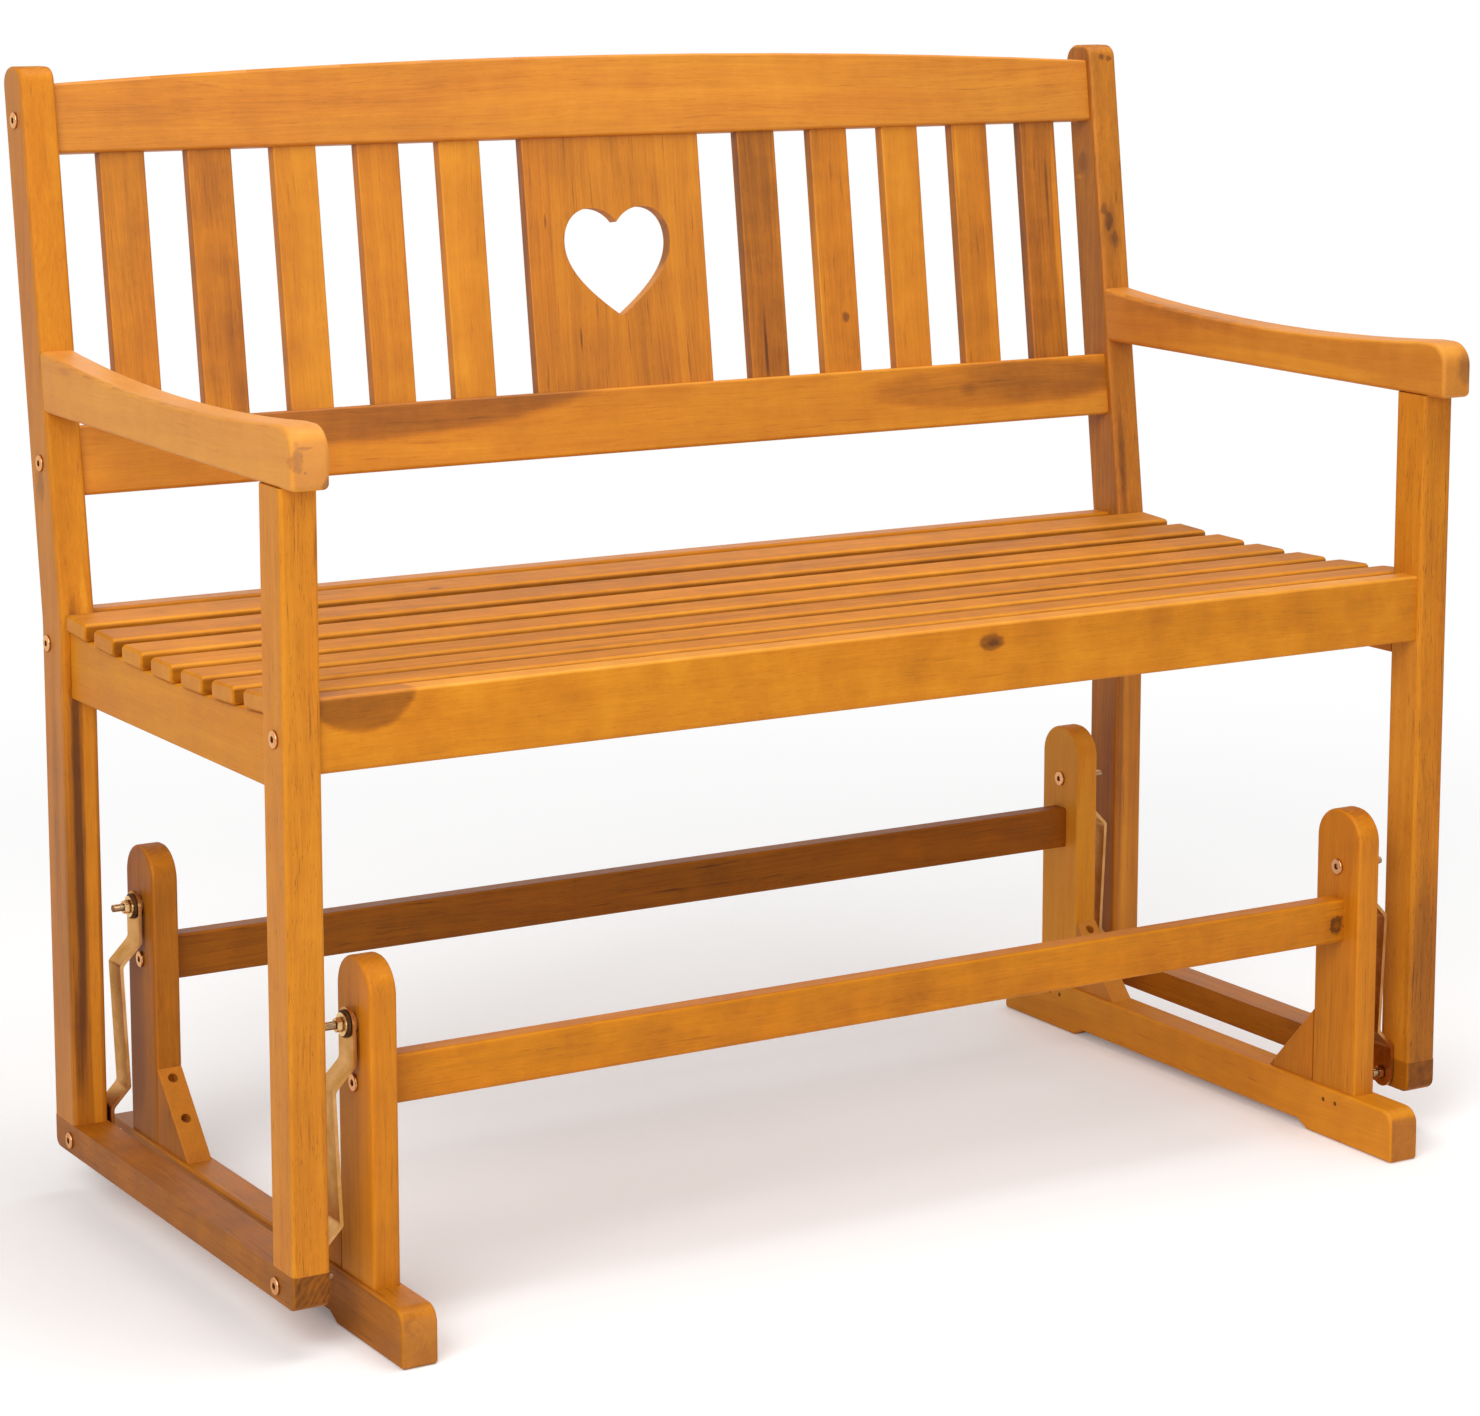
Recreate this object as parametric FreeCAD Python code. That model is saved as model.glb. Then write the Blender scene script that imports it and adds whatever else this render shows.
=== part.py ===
import FreeCAD
import Part
import math
import os

# Glider bench, in millimetres. X runs along the bench, Y from front to back, Z up from the floor.
# Depths are counted from the front face of the front legs; the finished bench is centred at the end.
Vec = FreeCAD.Vector

# Seat frame, the part that glides.
half_width = 550.0
seat_frame_depth = 477.0
leg_thickness = 30.5
front_leg_depth = 38.5
rear_post_depth = 43.5
leg_round = 4.0

# Bottom rails under the legs carry the lower pivots.
bottom_rail_low_z = 39.0
bottom_rail_height = 27.5
bottom_rail_end_round = 9.0
bottom_rail_round = 3.0
pivot_front_inset = 31.0
pivot_rear_inset = 34.0
lower_pivot_rise = 13.0

# Rear posts stand upright to the seat and lean back above it.
lean_start_z = 487.0
post_top_z = 940.0
post_lean_back = 60.0
post_top_depth = 39.5
post_top_front_round = 12.0
post_top_rear_round = 15.0
post_lean_blend = 110.0

# Seat rails.
rail_thickness = 22.0
rail_round = 3.0
seat_rail_low_z = 442.5
seat_rail_height = 57.0
front_rail_setback = 5.0
rear_rail_setback = 18.5
rear_rail_drop = 2.0
side_rail_setback = 8.0
side_rail_thickness = 21.5
side_rail_hang = 14.7
side_rail_round = 2.0
hollow_depth = 7.0
bearer_rise = 3.5

# Seat slats lie across the hollowed side rails.
seat_slat_count = 7
seat_slat_width = 40.5
seat_slat_thickness = 15.0
seat_slat_overhang = 4.5
seat_slat_round = 4.0
seat_slat_drop = 0.5
seat_slat_front_gap = 1.2
seat_slat_rear_gap = 0.5

# Armrests.
arm_overhang = 22.0
arm_low_front_z = 655.5
arm_front_height = 46.8
arm_heel_rise = 6.0
arm_heel_height = 49.5
arm_dip_depth = 6.8
arm_dip_y = 192.0
arm_level_length = 14.0
arm_nose_round = 20.0
arm_heel_round = 5.0
arm_round = 4.0
arm_tenon_thickness = 12.0
arm_tenon_width = 22.0
arm_tenon_length = 18.0

# Back rest, with heights measured up the lean of the posts.
back_rail_setback = 6.5
lower_back_rail_rise = 106.8
lower_back_rail_height = 57.7
top_rail_drop = 12.8
top_rail_end_height = 57.2
top_rail_crown = 14.3
back_slats_each_side = 5
back_slat_width = 40.0
back_slat_thickness = 12.0
back_slat_tenon = 8.0
back_slat_round = 2.0
panel_width = 179.0
panel_gap = 40.7

# Heart cut through the middle of the panel; drops are measured down from the tops of its lobes.
heart_half_width = 53.5
heart_height = 96.5
heart_lobe_x = 26.0
heart_notch_drop = 13.0
heart_wide_drop = 30.0
heart_notch_steer_x = 6.0
heart_notch_steer_rise = 8.0
heart_lobe_steer_in = 11.0
heart_lobe_steer_out = 16.0
heart_side_steer_up = 18.0
heart_side_steer_down = 24.0
heart_tip_steer_x = 31.0
heart_tip_steer_rise = 22.0

# Base that stands on the floor.
base_gap = 32.5
foot_thickness = 30.0
foot_height = 45.0
foot_overhang = 83.0
foot_lift = 6.5
foot_pad_length = 114.0
foot_pad_slope = 13.0
foot_end_round = 14.0
foot_round = 3.0
base_post_thickness = 22.5
base_post_depth = 58.0
base_post_top_z = 295.5
base_post_top_flat = 4.0
base_post_round = 3.0
base_tenon_thickness = 10.0
base_tenon_depth = 40.0
base_tenon_length = 30.0
gusset_length = 60.0
gusset_height = 65.0
gusset_thickness = 22.0
gusset_round = 1.5
stretcher_height = 38.0
stretcher_thickness = 20.0
stretcher_middle_z = 198.5
stretcher_round = 3.0

# Hangers bent from flat steel strip; lengths are measured from the pivots.
upper_pivot_drop = 50.5
strap_width = 25.0
strap_thickness = 3.0
strap_upper_flat = 30.0
strap_upper_bend = 48.0
strap_lower_bend = 41.0
strap_lower_flat = 25.0
strap_upper_crank = 17.5
strap_lower_crank = 15.5
strap_inner_round = 3.0

# Pivot bolts.
pivot_diameter = 6.0
pivot_clearance = 0.05
side_clearance = 0.15
washer_diameter = 17.0
washer_thickness = 1.0
spacer_thickness = 3.5
glide_ring_diameter = 21.0
glide_ring_thickness = 2.0
nut_washer_diameter = 18.0
nut_washer_thickness = 1.6
nut_across_flats = 10.0
nut_thickness = 5.0
nut_chamfer = 0.6
upper_thread_reach = 9.0
lower_thread_reach = 5.2

# Frame bolts, screws and pins.
bolt_head_diameter = 13.5
bolt_head_height = 2.2
bolt_head_round = 0.8
socket_across_flats = 5.0
socket_depth = 1.6
frame_bolt_diameter = 6.5
frame_bolt_length = 50.0
seat_bolt_rise = 28.0
screw_diameter = 4.0
screw_head_diameter = 7.5
screw_head_height = 3.0
gusset_screw_length = 45.0
gusset_sink_diameter = 8.5
gusset_sink_depth = 8.0
gusset_screw_places = (0.11, 0.54)
leg_screw_length = 60.0
leg_screw_inset = 14.0
pin_diameter = 4.0
pin_length = 20.0
pin_half_spacing = 8.0
pin_z = 34.0

# Places that follow from the sizes above.
leg_inner_x = half_width - leg_thickness
leg_middle_x = half_width - leg_thickness / 2
rear_post_front_y = seat_frame_depth - rear_post_depth
bottom_rail_top_z = bottom_rail_low_z + bottom_rail_height
lower_pivot_z = bottom_rail_low_z + lower_pivot_rise
pivot_ys = (pivot_front_inset, seat_frame_depth - pivot_rear_inset)
lean_run = post_top_z - lean_start_z
lean_slope = post_lean_back / lean_run
lean_angle = math.atan(lean_slope)
post_top_front_y = rear_post_front_y + post_lean_back
post_top_rear_y = post_top_front_y + post_top_depth
foot_outer_x = leg_inner_x - base_gap
foot_inner_x = foot_outer_x - foot_thickness
foot_front_y = pivot_ys[0] - foot_overhang
foot_rear_y = pivot_ys[1] + foot_overhang
base_post_middle_x = foot_outer_x - foot_thickness / 2
base_post_outer_x = base_post_middle_x + base_post_thickness / 2
base_post_inner_x = base_post_middle_x - base_post_thickness / 2
upper_pivot_z = base_post_top_z - upper_pivot_drop
base_post_top_round = (base_post_depth - base_post_top_flat) / 2
arm_top_front_z = arm_low_front_z + arm_front_height
arm_low_rear_z = arm_low_front_z + arm_heel_rise
arm_top_rear_z = arm_low_rear_z + arm_heel_height
arm_dip_z = arm_top_front_z - arm_dip_depth
side_rail_outer_x = half_width - side_rail_setback
seat_rail_top_z = seat_rail_low_z + seat_rail_height
hollow_end_z = seat_rail_top_z - seat_slat_thickness - seat_slat_drop

across = Vec(1, 0, 0)
backward = Vec(0, 1, 0)
upward = Vec(0, 0, 1)
near = 0.01
parts = {}


def block(x0, x1, y0, y1, z0, z1):
    return Part.makeBox(x1 - x0, y1 - y0, z1 - z0, Vec(x0, y0, z0))


def mirrored(shape):
    return shape.mirror(Vec(0, 0, 0), across)


def both_sides(solids):
    return Part.makeCompound(solids + [mirrored(solid) for solid in solids])


def add_pair(name, shape):
    # the same member at both ends of the bench
    parts[name + "_right"] = shape
    parts[name + "_left"] = mirrored(shape)


def side_path(points):
    # straight edges through (y, z) points in the plane x = 0
    return [Part.makeLine(Vec(0, *a), Vec(0, *b)) for a, b in zip(points, points[1:])]


def side_arc(start, middle, end):
    return Part.Arc(Vec(0, *start), Vec(0, *middle), Vec(0, *end)).toShape()


def corner_arc(centre, radius, from_degrees, to_degrees):
    def on_circle(degrees):
        angle = math.radians(degrees)
        return (centre[0] + radius * math.cos(angle), centre[1] + radius * math.sin(angle))

    middle_degrees = (from_degrees + to_degrees) / 2
    return side_arc(on_circle(from_degrees), on_circle(middle_degrees), on_circle(to_degrees))


def rounded_outline(corners):
    # closed outline through (y, z, radius) corners, each with a tangent arc of its own radius
    edges = []
    starts = []
    ends = []
    for number, (y, z, radius) in enumerate(corners):
        corner = Vec(0, y, z)
        before = Vec(0, *corners[number - 1][:2])
        after = Vec(0, *corners[(number + 1) % len(corners)][:2])
        arrive = (corner - before).normalize()
        leave = (after - corner).normalize()
        half_turn = arrive.getAngle(leave) / 2
        reach = radius * math.tan(half_turn)
        starts.append(corner - arrive * reach)
        ends.append(corner + leave * reach)
        if radius > 0:
            middle = corner + (leave - arrive).normalize() * radius * (1 / math.cos(half_turn) - 1)
            edges.append(Part.Arc(starts[-1], middle, ends[-1]).toShape())
    for number in range(len(corners)):
        edges.append(Part.makeLine(ends[number - 1], starts[number]))
    return edges


def side_prism(edges, x0, x1):
    # a side outline pushed through the thickness of a member
    wire = Part.Wire(Part.sortEdges(edges)[0])
    solid = Part.Face(wire).extrude(Vec(x1 - x0, 0, 0))
    solid.translate(Vec(x0, 0, 0))
    return solid


def face_edges(shape, x_values):
    # edges lying in one of the planes x = value
    found = []
    for edge in shape.Edges:
        for x in x_values:
            if abs(edge.BoundBox.XMin - x) < near and abs(edge.BoundBox.XMax - x) < near:
                found.append(edge)
    return found


def edges_along(shape, axis):
    found = []
    for edge in shape.Edges:
        run = edge.Vertexes[-1].Point - edge.Vertexes[0].Point
        if run.Length > near and abs(abs(run.normalize().dot(axis)) - 1) < near:
            found.append(edge)
    return found


def rounded_at(shape, y, z, radius):
    # round the edge that runs across the bench through (y, z)
    chosen = []
    for edge in edges_along(shape, across):
        point = edge.Vertexes[0].Point
        if abs(point.y - y) < near and abs(point.z - z) < near:
            chosen.append(edge)
    return shape.makeFillet(radius, chosen)


def rod(x0, x1, y, z, diameter):
    return Part.makeCylinder(diameter / 2, x1 - x0, Vec(x0, y, z), across)


def hexagon(across_flats, height):
    reach = across_flats / math.sqrt(3)
    angles = [math.radians(60 * turn) for turn in range(7)]
    corners = [Vec(reach * math.cos(angle), reach * math.sin(angle), 0) for angle in angles]
    return Part.Face(Part.makePolygon(corners)).extrude(Vec(0, 0, height))


def flat_head(x, y, z, outward):
    # low round bolt head with a hexagon socket, standing on a face at x
    head = Part.makeCylinder(bolt_head_diameter / 2, bolt_head_height)
    rim = [edge for edge in head.Edges if edge.BoundBox.ZMin > bolt_head_height - near]
    head = head.makeFillet(bolt_head_round, rim)
    socket = hexagon(socket_across_flats, socket_depth)
    socket.translate(Vec(0, 0, bolt_head_height - socket_depth))
    head = head.cut(socket)
    head.rotate(Vec(0, 0, 0), backward, math.copysign(90, outward))
    head.translate(Vec(x, y, z))
    return head


def frame_bolt(x, y, z):
    # flat head on an outer face at x, shank running inwards into the end of a rail
    return flat_head(x, y, z, 1).fuse(rod(x - frame_bolt_length, x, y, z, frame_bolt_diameter))


def pivot_nut(x, y, z):
    # hexagon with the corners of both faces turned off
    blank = Part.makeCylinder(nut_across_flats / math.sqrt(3), nut_thickness)
    blank = blank.makeChamfer(nut_chamfer, [edge for edge in blank.Edges if len(edge.Vertexes) == 1])
    nut = hexagon(nut_across_flats, nut_thickness).common(blank)
    nut = nut.cut(Part.makeCylinder(pivot_diameter / 2, nut_thickness))
    nut.rotate(Vec(0, 0, 0), backward, 90)
    nut.translate(Vec(x, y, z))
    return nut


def pivot_ring(x, y, z, thickness, diameter):
    ring = rod(x, x + thickness, y, z, diameter)
    return ring.cut(rod(x, x + thickness, y, z, pivot_diameter))


def wood_screw(start, aim, length):
    # countersunk head at the start, shank running along the aim
    head = Part.makeCone(screw_head_diameter / 2, screw_diameter / 2, screw_head_height, start, aim)
    return head.fuse(Part.makeCylinder(screw_diameter / 2, length, start, aim))


def make_bottom_rail():
    rail = block(leg_inner_x, half_width, 0, seat_frame_depth, bottom_rail_low_z, bottom_rail_top_z)
    for rail_end in (0, seat_frame_depth):
        rail = rounded_at(rail, rail_end, bottom_rail_low_z, bottom_rail_end_round)
    outline = face_edges(rail, (leg_inner_x, half_width))
    outline = [edge for edge in outline if edge.BoundBox.ZMin < bottom_rail_top_z - near]
    return rail.makeFillet(bottom_rail_round, outline)


def make_rear_post():
    outline = rounded_outline([
        (rear_post_front_y, bottom_rail_top_z, 0),
        (seat_frame_depth, bottom_rail_top_z, 0),
        (seat_frame_depth, lean_start_z, post_lean_blend),
        (post_top_rear_y, post_top_z, post_top_rear_round),
        (post_top_front_y, post_top_z, post_top_front_round),
        (rear_post_front_y, lean_start_z, post_lean_blend),
    ])
    post = side_prism(outline, leg_inner_x, half_width)
    outline = face_edges(post, (leg_inner_x, half_width))
    outline = [edge for edge in outline if edge.BoundBox.ZMax > bottom_rail_top_z + near]
    return post.makeFillet(leg_round, outline)


def post_front_y(z):
    return rear_post_front_y + lean_slope * (z - lean_start_z)


def make_armrest():
    # hollowed top, rounded nose, heel cut to the leaning post and tenoned into it
    front_y = -arm_overhang
    nose = (front_y + arm_nose_round, arm_top_front_z - arm_nose_round)
    level_y = nose[0] + arm_level_length
    heel_low = (post_front_y(arm_low_rear_z), arm_low_rear_z)
    heel_top = (post_front_y(arm_top_rear_z), arm_top_rear_z)
    edges = [side_arc(heel_top, (arm_dip_y, arm_dip_z), (level_y, arm_top_front_z))]
    edges += side_path([(level_y, arm_top_front_z), (nose[0], arm_top_front_z)])
    edges.append(corner_arc(nose, arm_nose_round, 90, 180))
    edges += side_path([(front_y, nose[1]), (front_y, arm_low_front_z), heel_low, heel_top])
    arm = side_prism(edges, leg_inner_x, half_width)
    arm = rounded_at(arm, front_y, arm_low_front_z, arm_heel_round)
    outline = face_edges(arm, (leg_inner_x, half_width))
    arm = arm.makeFillet(arm_round, [edge for edge in outline if edge.BoundBox.YMin < heel_low[0] - near])
    middle_z = (arm_low_rear_z + arm_top_rear_z) / 2
    tenon = block(
        leg_middle_x - arm_tenon_thickness / 2,
        leg_middle_x + arm_tenon_thickness / 2,
        heel_low[0] - arm_tenon_length,
        heel_low[0] + arm_tenon_length,
        middle_z - arm_tenon_width / 2,
        middle_z + arm_tenon_width / 2,
    )
    return arm.fuse(tenon).removeSplitter(), tenon


def make_front_leg():
    # the top follows the slope of the armrest and has a tenon into it
    slope = (arm_low_rear_z - arm_low_front_z) / (post_front_y(arm_low_rear_z) + arm_overhang)
    front_z = arm_low_front_z + slope * arm_overhang
    rear_z = front_z + slope * front_leg_depth
    outline = side_path([
        (0, bottom_rail_top_z),
        (front_leg_depth, bottom_rail_top_z),
        (front_leg_depth, rear_z),
        (0, front_z),
        (0, bottom_rail_top_z),
    ])
    leg = side_prism(outline, leg_inner_x, half_width)
    leg = leg.makeFillet(leg_round, edges_along(leg, upward))
    tenon = block(
        leg_middle_x - arm_tenon_thickness / 2,
        leg_middle_x + arm_tenon_thickness / 2,
        (front_leg_depth - arm_tenon_width) / 2,
        (front_leg_depth + arm_tenon_width) / 2,
        front_z - arm_tenon_length,
        front_z + arm_tenon_length,
    )
    return leg.fuse(tenon).removeSplitter(), tenon


def hollow_z(y):
    # height of the hollowed top of the side rails
    half_run = (rear_post_front_y - front_leg_depth) / 2
    radius = (half_run ** 2 + hollow_depth ** 2) / (2 * hollow_depth)
    middle_y = (front_leg_depth + rear_post_front_y) / 2
    return hollow_end_z - hollow_depth + radius - math.sqrt(radius ** 2 - (y - middle_y) ** 2)


def hollowed_rail(x0, x1, y0, y1, low_z):
    middle_y = (y0 + y1) / 2
    edges = [side_arc((y0, hollow_z(y0)), (middle_y, hollow_z(middle_y)), (y1, hollow_z(y1)))]
    edges += side_path([(y1, hollow_z(y1)), (y1, low_z), (y0, low_z), (y0, hollow_z(y0))])
    return side_prism(edges, x0, x1)


def make_side_rail():
    low_z = seat_rail_low_z - side_rail_hang
    inner_x = side_rail_outer_x - side_rail_thickness
    rail = hollowed_rail(inner_x, side_rail_outer_x, front_leg_depth, rear_post_front_y, low_z)
    long_edges = face_edges(rail, (side_rail_outer_x,))
    long_edges = [edge for edge in long_edges if edge.BoundBox.YLength > edge.BoundBox.ZLength]
    return rail.makeFillet(side_rail_round, long_edges)


def make_seat_rail(y, low_z):
    rail = block(-leg_inner_x, leg_inner_x, y, y + rail_thickness, low_z, low_z + seat_rail_height)
    return rail.makeFillet(rail_round, edges_along(rail, across))


def make_seat_slat(rear_y):
    # lies on the hollow, touching it along its front and rear edges
    front_y = rear_y - seat_slat_width
    half_length = side_rail_outer_x + seat_slat_overhang
    slope = math.atan2(hollow_z(rear_y) - hollow_z(front_y), seat_slat_width)
    slat = block(-half_length, half_length, 0, seat_slat_width, 0, seat_slat_thickness)
    slat = slat.makeFillet(seat_slat_round, slat.Edges)
    slat.rotate(Vec(0, 0, 0), across, math.degrees(slope))
    slat.translate(Vec(0, front_y, hollow_z(front_y)))
    return slat


def leaned(shape):
    # from upright, with heights above the start of the lean, to its place between the posts
    shape.rotate(Vec(0, 0, 0), across, -math.degrees(lean_angle))
    shape.translate(Vec(0, rear_post_front_y, lean_start_z))
    return shape


def leaned_place(depth, height):
    return (
        rear_post_front_y + depth * math.cos(lean_angle) + height * math.sin(lean_angle),
        lean_start_z - depth * math.sin(lean_angle) + height * math.cos(lean_angle),
    )


def make_top_rail(low, end):
    front = back_rail_setback
    crown = Part.Arc(
        Vec(-leg_inner_x, front, end), Vec(0, front, end + top_rail_crown), Vec(leg_inner_x, front, end)
    ).toShape()
    sides = Part.makePolygon([
        Vec(leg_inner_x, front, end),
        Vec(leg_inner_x, front, low),
        Vec(-leg_inner_x, front, low),
        Vec(-leg_inner_x, front, end),
    ])
    outline = Part.Wire(Part.sortEdges([crown] + sides.Edges)[0])
    rail = Part.Face(outline).extrude(Vec(0, rail_thickness, 0))
    return rail.makeFillet(rail_round, [edge for edge in rail.Edges if edge.BoundBox.XLength > leg_inner_x])


def make_back_board(middle_x, width, low, high):
    front = back_rail_setback + (rail_thickness - back_slat_thickness) / 2
    board = block(
        middle_x - width / 2, middle_x + width / 2, front, front + back_slat_thickness, low, high
    )
    return board.makeFillet(back_slat_round, edges_along(board, upward))


def make_heart(top):
    # each half is three curves: notch to lobe, lobe to widest point, widest point to tip
    halves = [
        [
            (0, heart_notch_drop),
            (heart_notch_steer_x, heart_notch_drop - heart_notch_steer_rise),
            (heart_lobe_x - heart_lobe_steer_in, 0),
            (heart_lobe_x, 0),
        ],
        [
            (heart_lobe_x, 0),
            (heart_lobe_x + heart_lobe_steer_out, 0),
            (heart_half_width, heart_wide_drop - heart_side_steer_up),
            (heart_half_width, heart_wide_drop),
        ],
        [
            (heart_half_width, heart_wide_drop),
            (heart_half_width, heart_wide_drop + heart_side_steer_down),
            (heart_tip_steer_x, heart_height - heart_tip_steer_rise),
            (0, heart_height),
        ],
    ]
    edges = []
    for side in (1, -1):
        for poles in halves:
            curve = Part.BezierCurve()
            curve.setPoles([Vec(side * x, 0, top - drop) for x, drop in poles])
            edges.append(curve.toShape())
    outline = Part.Wire(Part.sortEdges(edges)[0])
    return Part.Face(outline).extrude(Vec(0, back_rail_setback + rail_thickness, 0))


def make_foot_rail():
    # flat pads at both ends, relief between them, rounded upper corners
    shoulder = foot_height - foot_end_round
    front_pad_end = foot_front_y + foot_pad_length
    rear_pad_end = foot_rear_y - foot_pad_length
    edges = side_path([
        (foot_front_y, shoulder),
        (foot_front_y, 0),
        (front_pad_end, 0),
        (front_pad_end + foot_pad_slope, foot_lift),
        (rear_pad_end - foot_pad_slope, foot_lift),
        (rear_pad_end, 0),
        (foot_rear_y, 0),
        (foot_rear_y, shoulder),
    ])
    edges.append(corner_arc((foot_rear_y - foot_end_round, shoulder), foot_end_round, 0, 90))
    edges += side_path([
        (foot_rear_y - foot_end_round, foot_height),
        (foot_front_y + foot_end_round, foot_height),
    ])
    edges.append(corner_arc((foot_front_y + foot_end_round, shoulder), foot_end_round, 90, 180))
    rail = side_prism(edges, foot_inner_x, foot_outer_x)
    rail = rounded_at(rail, foot_front_y, 0, foot_round)
    rail = rounded_at(rail, foot_rear_y, 0, foot_round)
    return rail.makeFillet(foot_round, face_edges(rail, (foot_inner_x, foot_outer_x)))


def make_base_post(pivot_y):
    # rounded top above, tenon into the foot rail below
    front = pivot_y - base_post_depth / 2
    rear = pivot_y + base_post_depth / 2
    shoulder = base_post_top_z - base_post_top_round
    edges = side_path([(front, shoulder), (front, foot_height), (rear, foot_height), (rear, shoulder)])
    edges.append(corner_arc((rear - base_post_top_round, shoulder), base_post_top_round, 0, 90))
    edges += side_path([
        (rear - base_post_top_round, base_post_top_z),
        (front + base_post_top_round, base_post_top_z),
    ])
    edges.append(corner_arc((front + base_post_top_round, shoulder), base_post_top_round, 90, 180))
    post = side_prism(edges, base_post_inner_x, base_post_outer_x)
    outline = face_edges(post, (base_post_inner_x, base_post_outer_x))
    outline = [edge for edge in outline if edge.BoundBox.ZMax > foot_height + near]
    post = post.makeFillet(base_post_round, outline)
    tenon = block(
        base_post_middle_x - base_tenon_thickness / 2,
        base_post_middle_x + base_tenon_thickness / 2,
        pivot_y - base_tenon_depth / 2,
        pivot_y + base_tenon_depth / 2,
        foot_height - base_tenon_length,
        foot_height,
    )
    return post.fuse(tenon).removeSplitter(), tenon


def make_gusset(face_y, inward):
    # triangle against the inner face of a post, sloping down along the foot rail
    toe_y = face_y + inward * gusset_length
    outline = side_path([
        (face_y, foot_height),
        (face_y, foot_height + gusset_height),
        (toe_y, foot_height),
        (face_y, foot_height),
    ])
    gusset = side_prism(
        outline, base_post_middle_x - gusset_thickness / 2, base_post_middle_x + gusset_thickness / 2
    )
    boxes = [(edge, edge.BoundBox) for edge in gusset.Edges]
    sloping = [edge for edge, box in boxes if box.YLength > near and box.ZLength > near]
    return gusset.makeFillet(gusset_round, sloping)


def gusset_screws(face_y, inward):
    # screws square to the slope with their sinks, placed by their share of the slope from its top
    slope = math.hypot(gusset_length, gusset_height)
    aim = Vec(0, -inward * gusset_height / slope, -gusset_length / slope)
    screws = []
    sinks = []
    for share in gusset_screw_places:
        mouth_y = face_y + inward * share * gusset_length
        mouth = Vec(base_post_middle_x, mouth_y, foot_height + gusset_height * (1 - share))
        screws.append(wood_screw(mouth + aim * gusset_sink_depth, aim, gusset_screw_length))
        sinks.append(Part.makeCylinder(
            gusset_sink_diameter / 2, 2 * gusset_sink_depth, mouth - aim * gusset_sink_depth, aim
        ))
    return screws, sinks


def make_stretcher(middle_y):
    bar = block(
        -base_post_inner_x,
        base_post_inner_x,
        middle_y - stretcher_thickness / 2,
        middle_y + stretcher_thickness / 2,
        stretcher_middle_z - stretcher_height / 2,
        stretcher_middle_z + stretcher_height / 2,
    )
    return bar.makeFillet(stretcher_round, edges_along(bar, across))


def thickened(line):
    # the (x, z) line moved outwards by the strip thickness, with mitred corners
    normals = []
    for a, b in zip(line, line[1:]):
        run = math.hypot(b[0] - a[0], b[1] - a[1])
        normals.append(((a[1] - b[1]) / run, (b[0] - a[0]) / run))
    moved = []
    for point, m, n in zip(line, normals[:1] + normals, normals + normals[-1:]):
        scale = strap_thickness / (1 + m[0] * n[0] + m[1] * n[1])
        moved.append((point[0] + scale * (m[0] + n[0]), point[1] + scale * (m[1] + n[1])))
    return moved


def make_strap(upper_x, lower_x):
    # flat strip cranked twice, between its inner faces at the upper and lower pivots
    line = [
        (upper_x, upper_pivot_z + strap_width / 2),
        (upper_x, upper_pivot_z - strap_upper_flat),
        (upper_x + strap_upper_crank, upper_pivot_z - strap_upper_bend),
        (lower_x - strap_lower_crank, lower_pivot_z + strap_lower_bend),
        (lower_x, lower_pivot_z + strap_lower_flat),
        (lower_x, lower_pivot_z - strap_width / 2),
    ]
    outer_line = thickened(line)
    corners = [Vec(x, -strap_width / 2, z) for x, z in line + outer_line[::-1] + line[:1]]
    strap = Part.Face(Part.makePolygon(corners)).extrude(Vec(0, strap_width, 0))
    outer_round = strap_inner_round + strap_thickness
    for number in range(1, len(line) - 1):
        a, b, c = line[number - 1 : number + 2]
        turn = (b[0] - a[0]) * (c[1] - b[1]) - (b[1] - a[1]) * (c[0] - b[0])
        radii = (strap_inner_round, outer_round) if turn > 0 else (outer_round, strap_inner_round)
        for corner, radius in zip((b, outer_line[number]), radii):
            bend = []
            for edge in edges_along(strap, backward):
                point = edge.Vertexes[0].Point
                if abs(point.x - corner[0]) < near and abs(point.z - corner[1]) < near:
                    bend.append(edge)
            strap = strap.makeFillet(radius, bend)
    half = strap_width / 2
    outline = side_path([(-half, upper_pivot_z), (-half, lower_pivot_z)])
    outline.append(corner_arc((0, lower_pivot_z), half, 180, 360))
    outline += side_path([(half, lower_pivot_z), (half, upper_pivot_z)])
    outline.append(corner_arc((0, upper_pivot_z), half, 0, 180))
    strap = strap.common(side_prism(outline, upper_x, half_width))
    for z in (upper_pivot_z, lower_pivot_z):
        strap = strap.cut(rod(upper_x, half_width, 0, z, pivot_diameter + 2 * pivot_clearance))
    return strap


# Seat frame: members first, then the bolts and the holes for them.
bottom_rail = make_bottom_rail()
rear_post = make_rear_post()
armrest, armrest_tenon = make_armrest()
front_leg, leg_tenon = make_front_leg()
armrest = armrest.cut(leg_tenon)
rear_post = rear_post.cut(armrest_tenon)
front_seat_rail = make_seat_rail(front_rail_setback, seat_rail_low_z)
rear_rail_y = rear_post_front_y + rear_rail_setback
rear_seat_rail = make_seat_rail(rear_rail_y, seat_rail_low_z - rear_rail_drop)

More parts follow.
